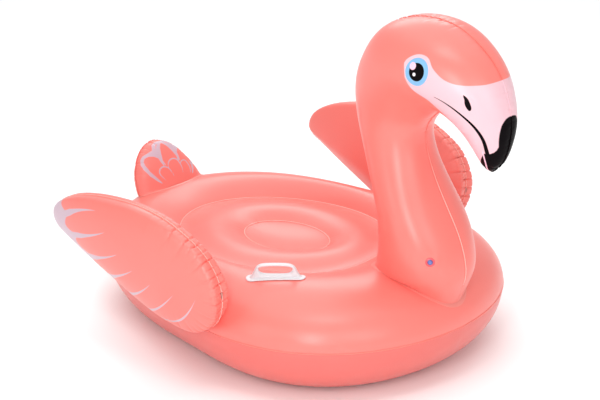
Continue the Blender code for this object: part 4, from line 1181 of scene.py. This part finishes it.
ARCS = (
    ((-0.041, 0.009), (-0.055, 0.033), (-0.058, 0.050), (-0.045, 0.063), (-0.029, 0.064), (-0.016, 0.056), (-0.009, 0.043), (-0.003, 0.015)),
    ((-0.013, 0.050), (-0.008, 0.068), (0.008, 0.080), (0.028, 0.081), (0.041, 0.073), (0.046, 0.060), (0.048, 0.044), (0.041, 0.018)),
    ((0.045, 0.047), (0.050, 0.058), (0.066, 0.065), (0.080, 0.061), (0.087, 0.045), (0.087, 0.029), (0.077, 0.010)),
    ((0.097, 0.058), (0.104, 0.045), (0.104, 0.030), (0.092, 0.008)),
)


def tail_fields(p, face):
    yu = np.stack([p[:, 1], (p - T_O) @ T_UP], -1)
    d, s = nearest(yu, TAIL_OUT)
    d = np.hypot(d, 0.6 * np.abs((p - T_O) @ T_N))
    f = {"weld": d}
    if face > 0:
        flipped = BAND * (-1, 1) + (2 * T_MID, 0)
        best = np.minimum(signed(yu, BAND), signed(yu, flipped))
        for arc in ARCS:
            c = spline(arc, 40)
            along = arc_length(c)
            dist, run = nearest(yu, c)
            half = 0.0024 * np.sqrt(np.maximum(0.06, np.sin(math.pi * run / along[-1])))
            best = np.minimum(best, dist - half)
        f["petal"] = best
    return f


for nm, face, rn, cn in (("front", 1.0, dense(150), dense(130)), ("rear", -1.0, dense(90), dense(72))):
    g, TAIL_OUT = tail_grid(face, rn, cn)

    def move(p, face=face):
        yu = np.stack([p[:, 1], (p - T_O) @ T_UP], -1)
        d, s = nearest(yu, TAIL_OUT)
        d = np.hypot(d, 0.7 * np.abs((p - T_O) @ T_N))
        foot = np.clip((yu[:, 1] - 0.004) / 0.03, 0, 1)
        return puckers(d, s, 0.0215, 0.0042, 0.026, 5.0, 0.95, 0.0034) * foot
    film("tail_%s_film" % nm, g, lambda c, v=T_N * face: np.tile(v, (len(c), 1)), "float", ["tail_%s_panel" % nm],
         MAT["tail" if face > 0 else "film"], move=move, fields=lambda p, f=face: tail_fields(p, f),
         holes=[(VALVE["tail"][0], VALVE["tail"][1], 0.0095)] if face < 0 else [])
    if face > 0:
        TAIL_F = g
    else:
        TAIL_R = g

s = arc_length(TAIL_OUT)
n = dense(300)
q = np.linspace(0.0, s[-1], n)
line = np.stack([np.interp(q, s, TAIL_OUT[:, k]) for k in (0, 1)], -1)
tan = unit(np.gradient(line, axis=0))
away = np.stack([tan[:, 1], -tan[:, 0]], -1)
if (away * (line - line.mean(0))).sum() < 0:
    away = -away
rip = puckers(np.zeros(n), q, 0.0215, 0.0038, 0.026, 5.0, 0.95, 0.0034) * np.clip((line[:, 1] - 0.004) / 0.03, 0, 1)
line = line + away * rip[:, None]
path = T_O + T_UP * line[:, 1:]
path[:, 1] = line[:, 0]
low = np.array([drop(v[0], v[1], 0.0030, TOP_ONLY) for v in path])
path[:, 2] = np.maximum(path[:, 2], low)
away3 = T_UP * away[:, 1:]
away3[:, 1] = away[:, 0]
sweep("tail_weld", path, away3, np.tile(T_N, (n, 1)), rounded(-0.0030, 0.0024, 0.0008), "float", MAT["weld"], closed=False)

loop = np.vstack([TAIL_F[0], TAIL_R[0][::-1][1:-1]])
s = arc_length(loop, True)
q = np.linspace(0, s[-1], dense(220), endpoint=False)
lp = np.vstack([loop, loop[:1]])
loop = np.stack([np.interp(q, s, lp[:, k]) for k in range(3)], -1)
for _ in range(3):
    loop = (np.roll(loop, 1, 0) + loop * 2 + np.roll(loop, -1, 0)) / 4
skirt("tail_foot_weld", loop, loop[:, :2].mean(0), "float", MAT["foot"], TOP_ONLY)


# ---------------------------------------------------------------------- handles
def handle_place(sign):
    th = math.radians(HANDLE_ANGLE) * -sign
    e = 1e-3
    p = seat_xy(np.array([th - e, th, th + e]))
    t = Vector((*(p[2] - p[0]), 0)).normalized()
    if t.x < 0:
        t = -t
    t.rotate(Matrix.Rotation(math.radians(HANDLE_TURN) * -sign, 3, "Z"))
    n = Vector((-t.y, t.x, 0))
    if n.y * sign < 0:
        n = -n
    c = Vector((*p[1], 0)) + n * HANDLE_OUT - SHIFT
    hit = max((h for h in (tr.ray_cast(Vector((c.x, c.y, 1.0)), Vector((0, 0, -1))) for tr in DECK)
               if h[0] is not None), key=lambda h: h[0].z)
    z = (HANDLE_TILT_MIX * hit[1] + (1.0 - HANDLE_TILT_MIX) * Vector((0, 0, 1))).normalized()
    x = (t - z * t.dot(z)).normalized()
    y = z.cross(x)
    o = hit[0]

    def place(a, b, h):
        p = o + x * a + y * b
        ground = None
        for tr in DECK:
            r = tr.ray_cast(p + z * 0.08, -z)
            if r[0] is not None:
                g = (r[0] - p).dot(z)
                ground = g if ground is None else max(ground, g)
        k = max(0.0, 1.0 - h / 0.05)
        return p + z * (h + HANDLE_LIFT + ground * k)
    return place


def handle(side, sign):
    place = handle_place(sign)
    bm = bmesh.new()
    hl, hw = HANDLE_LEN / 2, HANDLE_WID / 2
    na, nb = dense(90), dense(28)
    top, bot = {}, {}
    for i in range(na + 1):
        a = -hl + 2 * hl * (0.5 - 0.5 * math.cos(math.pi * i / na))
        end = max(0.0, abs(a) - (hl - hw)) / hw
        w = hw * math.sqrt(max(0.0, 1 - end * end))
        w = max(w, hw * 0.12)
        for j in range(nb + 1):
            b = -w + 2 * w * j / nb
            # thin flange, a raised welt inside its edge, and the web under the finger slot
            edge = min(1.0, (w - abs(b)) / 0.0030)
            high = HANDLE_PLATE * (0.45 + 0.55 * smooth_step(edge, 0.0, 1.0))
            welt = math.exp(-(((w - abs(b)) - 0.0045) / 0.0012) ** 2) * 0.0006
            web = (1.0 - smooth_step(abs(b), 0.0062, 0.0095)) * (1.0 - smooth_step(abs(a), 0.064, 0.074))
            high = high + welt + (HANDLE_RIDGE - HANDLE_PLATE) * web
            top[i, j] = bm.verts.new(place(a, b, high))
            bot[i, j] = bm.verts.new(place(a, b, 0.0))
    for i in range(na):
        for j in range(nb):
            bm.faces.new((top[i, j], top[i + 1, j], top[i + 1, j + 1], top[i, j + 1]))
            bm.faces.new((bot[i, j], bot[i, j + 1], bot[i + 1, j + 1], bot[i + 1, j]))
    for i in range(na):
        for j in (0, nb):
            bm.faces.new((top[i, j], bot[i, j], bot[i + 1, j], top[i + 1, j]))
    for j in range(nb):
        for i in (0, na):
            bm.faces.new((top[i, j], top[i, j + 1], bot[i, j + 1], bot[i, j]))
    # the loop: an arched outline with a long finger slot through it
    n, k = dense(150), 24
    q = np.linspace(0.0, 2 * math.pi, n, endpoint=False)
    square = np.where(np.sin(q) > 0, 0.52, 0.90)
    reach = np.where(np.sin(q) > 0, SLOT_TOP - SLOT_MID, SLOT_MID - SLOT_LOW)
    slot_a = SLOT_HALF * np.sign(np.cos(q)) * np.abs(np.cos(q)) ** 0.62
    slot_h = SLOT_MID + reach * np.sign(np.sin(q)) * np.abs(np.sin(q)) ** square
    arch = spline(ARCH, 200)
    arch = np.vstack([arch, np.stack([np.linspace(ARCH[-1][0], ARCH[0][0], 60), np.full(60, ARCH[0][1])], -1)[1:-1]])
    turn = np.arctan2(arch[:, 1] - SLOT_MID, arch[:, 0])
    order = np.argsort(turn)
    far = np.hypot(arch[:, 0], arch[:, 1] - SLOT_MID)[order]
    want = np.arctan2(slot_h - SLOT_MID, slot_a)
    r = np.interp(want, turn[order], far, period=2 * math.pi)
    rim_a, rim_h = r * np.cos(want), SLOT_MID + r * np.sin(want)
    rings = []
    for i in range(n):
        ring = []
        for j in range(k):
            w = 2 * math.pi * j / k
            ex = math.copysign(abs(math.cos(w)) ** 0.75, math.cos(w))
            ey = 0.5 + 0.5 * math.copysign(abs(math.sin(w)) ** 0.75, math.sin(w))
            a, h = slot_a[i] + (rim_a[i] - slot_a[i]) * ey, slot_h[i] + (rim_h[i] - slot_h[i]) * ey
            ring.append(bm.verts.new(place(a, ex * GRIP_W * (0.92 + 0.45 * max(0.0, 1.0 - h / 0.05) ** 2), h)))
        rings.append(ring)
    for i in range(n):
        r0, r1 = rings[i], rings[(i + 1) % n]
        for j in range(k):
            bm.faces.new((r0[j], r0[(j + 1) % k], r1[(j + 1) % k], r1[j]))
    bmesh.ops.recalc_face_normals(bm, faces=bm.faces)
    me = bpy.data.meshes.new("handle_%s_moulding" % side)
    bm.to_mesh(me)
    bm.free()
    ob = bpy.data.objects.new("handle_%s_moulding" % side, me)
    bpy.context.scene.collection.objects.link(ob)
    mod = ob.modifiers.new("join", "REMESH")
    mod.mode = "VOXEL"
    mod.voxel_size = 0.0008
    mod.use_smooth_shade = True
    mod = ob.modifiers.new("fillet", "SMOOTH")
    mod.factor = 0.5
    mod.iterations = 5
    return settle(ob, "float", ["handle_" + side], MAT["white"], angle=80)


for side, sgn in (("left", 1.0), ("right", -1.0)):
    handle(side, sgn)


# ----------------------------------------------------------------------- valves
def turned(name, profile, frame4, body, nodes, mat, seg=40):
    """Solid of revolution of a closed (r, z) profile."""
    bm = bmesh.new()
    rings = []
    for r, z in profile:
        if r < 1e-9:
            rings.append([bm.verts.new(frame4 @ Vector((0, 0, z)))])
        else:
            rings.append([bm.verts.new(frame4 @ Vector((r * math.cos(2 * math.pi * i / seg), r * math.sin(2 * math.pi * i / seg), z)))
                          for i in range(seg)])
    for a in range(len(rings)):
        p, q = rings[a], rings[(a + 1) % len(rings)]
        if len(p) == 1 and len(q) == 1:
            continue
        for i in range(seg):
            j = (i + 1) % seg
            if len(p) == 1:
                bm.faces.new((p[0], q[j], q[i]))
            elif len(q) == 1:
                bm.faces.new((p[i], p[j], q[0]))
            else:
                bm.faces.new((p[i], p[j], q[j], q[i]))
    bmesh.ops.recalc_face_normals(bm, faces=bm.faces)
    me = bpy.data.meshes.new(name)
    bm.to_mesh(me)
    bm.free()
    ob = bpy.data.objects.new(name, me)
    bpy.context.scene.collection.objects.link(ob)
    return settle(ob, body, nodes, mat, angle=40)


for tag, (at, axis, body) in VALVE.items():
    z = Vector(axis).normalized()
    x = z.orthogonal().normalized()
    y = z.cross(x)
    m4 = Matrix((x, y, z)).transposed().to_4x4()
    m4.translation = Vector(at) - SHIFT
    t0 = V_FLANGE_T
    turned("valve_%s_seat" % tag,
           ((V_BORE, -V_DEPTH), (V_COLLAR, -V_DEPTH), (V_COLLAR, 0.0), (V_FLANGE - 0.0002, 0.0), (V_FLANGE, t0 * 0.30),
            (V_FLANGE - 0.0003, t0 * 0.62), (V_FLANGE - 0.0009, t0 * 0.85), (V_FLANGE - 0.0026, t0 * 0.80),
            (V_FLANGE - 0.0036, t0 * 0.55), (V_FLANGE - 0.0048, t0 * 0.60), (0.0086, t0 * 0.92), (0.0076, t0),
            (V_BORE + 0.0003, t0), (V_BORE, t0 * 0.8)),
           m4, body, ["valve_%s_base" % tag], MAT["flange"])
    s0 = t0 + 0.0003
    turned("valve_%s_tube" % tag,
           ((STEM_BORE, -V_DEPTH + 0.001), (STEM_R, -V_DEPTH + 0.001), (STEM_R, s0), (STEM_LIP - 0.0002, s0),
            (STEM_LIP, s0 + STEM_LIP_T * 0.35), (STEM_LIP - 0.0002, s0 + STEM_LIP_T * 0.8), (STEM_LIP - 0.0006, s0 + STEM_LIP_T),
            (STEM_BORE + 0.0003, s0 + STEM_LIP_T), (STEM_BORE, s0 + STEM_LIP_T * 0.7)),
           m4, "valve_%s_stem" % tag, ["valve_%s_stem" % tag], MAT["valve"])
    p0 = s0 + STEM_LIP_T + 0.0003
    turned("valve_%s_cap" % tag,
           ((0, p0 - PLUG_LEN), (PLUG_R - 0.0006, p0 - PLUG_LEN), (PLUG_R, p0 - PLUG_LEN + 0.0012), (PLUG_R - 0.0003, p0 - 0.0020),
            (PLUG_R, p0), (PLUG_CAP - 0.0002, p0), (PLUG_CAP, p0 + PLUG_CAP_T * 0.4), (PLUG_CAP - 0.0003, p0 + PLUG_CAP_T * 0.8),
            (PLUG_CAP - 0.0009, p0 + PLUG_CAP_T), (PLUG_CAP - 0.0019, p0 + PLUG_CAP_T * 0.92), (0.0026, p0 + PLUG_CAP_T * 0.62),
            (0, p0 + PLUG_CAP_T * 0.55)),
           m4, "valve_%s_plug" % tag, ["valve_%s_plug" % tag], MAT["plug"])

# the panels inside the chambers keep their CAD shape
for node, mat in (("seat_baffle", "film"), ("seat_bottom_panel", "low"), ("neck_base_panel", "film"), ("tail_base_panel", "film")):
    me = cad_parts[node].data
    # the seat's bottom panel takes the darkened coral, painted shade for the underside
    inner = MAT["inner_" + mat] = MAT.get("inner_" + mat) or vinyl("inner_%s_vinyl" % mat, CORAL if mat == "film" else CORAL_PAINTED_SHADE, rough=0.4)
    if not me.materials:
        me.materials.append(inner)
    for i in range(len(me.materials)):
        me.materials[i] = inner

# ------------------------------------------------------------- floor and lights
bm = bmesh.new()
R = 60.0
ring = [bm.verts.new((R * math.cos(a), R * math.sin(a), -0.0006)) for a in np.linspace(0, 2 * math.pi, 64, endpoint=False)]
bm.faces.new(ring)
me = bpy.data.meshes.new("studio_floor")
bm.to_mesh(me)
bm.free()
floor = bpy.data.objects.new("studio_floor", me)
bpy.context.scene.collection.objects.link(floor)
mat = bpy.data.materials.new("studio_floor")
mat.use_nodes = True
b = mat.node_tree.nodes["Principled BSDF"]
b.inputs["Base Color"].default_value = (0.962, 0.978, 0.980, 1.0)
b.inputs["Roughness"].default_value = 0.9
b.inputs["Specular IOR Level"].default_value = 0.0
me.materials.append(mat)

world = bpy.data.worlds.new("studio")
bpy.context.scene.world = world
world.use_nodes = True
bg = world.node_tree.nodes["Background"]
bg.inputs["Color"].default_value = (1.0, 1.0, 1.0, 1.0)
bg.inputs["Strength"].default_value = 0.66


def area(name, at, target, size, power, size_y=None):
    d = bpy.data.lights.new(name, "AREA")
    d.energy = power
    d.size = size
    d.shape = "RECTANGLE" if size_y else "SQUARE"
    if size_y:
        d.size_y = size_y
    o = bpy.data.objects.new(name, d)
    bpy.context.scene.collection.objects.link(o)
    v = Vector(target) - Vector(at)
    o.location = at
    o.rotation_euler = v.to_track_quat("-Z", "Y").to_euler()
    return o


def softbox(name, direction, distance, wide, high, radiance):
    """Square-on rectangular light at a distance from the middle of the float."""
    return area(name, tuple(C + Vector(direction).normalized() * distance), C, wide,
                radiance * wide * high * math.pi, high)


C = Vector((0.1, -0.1, 0.45))
sky = bpy.data.lights.new("ceiling", "SUN")
sky.energy = 1.14
sky.angle = math.radians(75.0)
top = bpy.data.objects.new("ceiling", sky)
bpy.context.scene.collection.objects.link(top)
top.rotation_euler = Vector((0.25, -0.20, -0.95)).to_track_quat("-Z", "Y").to_euler()
softbox("softbox_key", (1.55, -2.35, 0.95), 3.1, 0.40, 1.5, 14.0)
softbox("softbox_top", (0.70, -0.70, 2.10), 3.1, 1.0, 0.6, 6.5)
softbox("softbox_side", (-0.30, -2.90, 0.85), 3.1, 0.30, 1.6, 4.0)
softbox("softbox_fill", (0.90, -0.35, 0.42), 3.5, 1.5, 1.5, 2.3)
softbox("softbox_back", (-0.50, 0.56, 0.60), 3.5, 2.2, 1.1, 2.9)
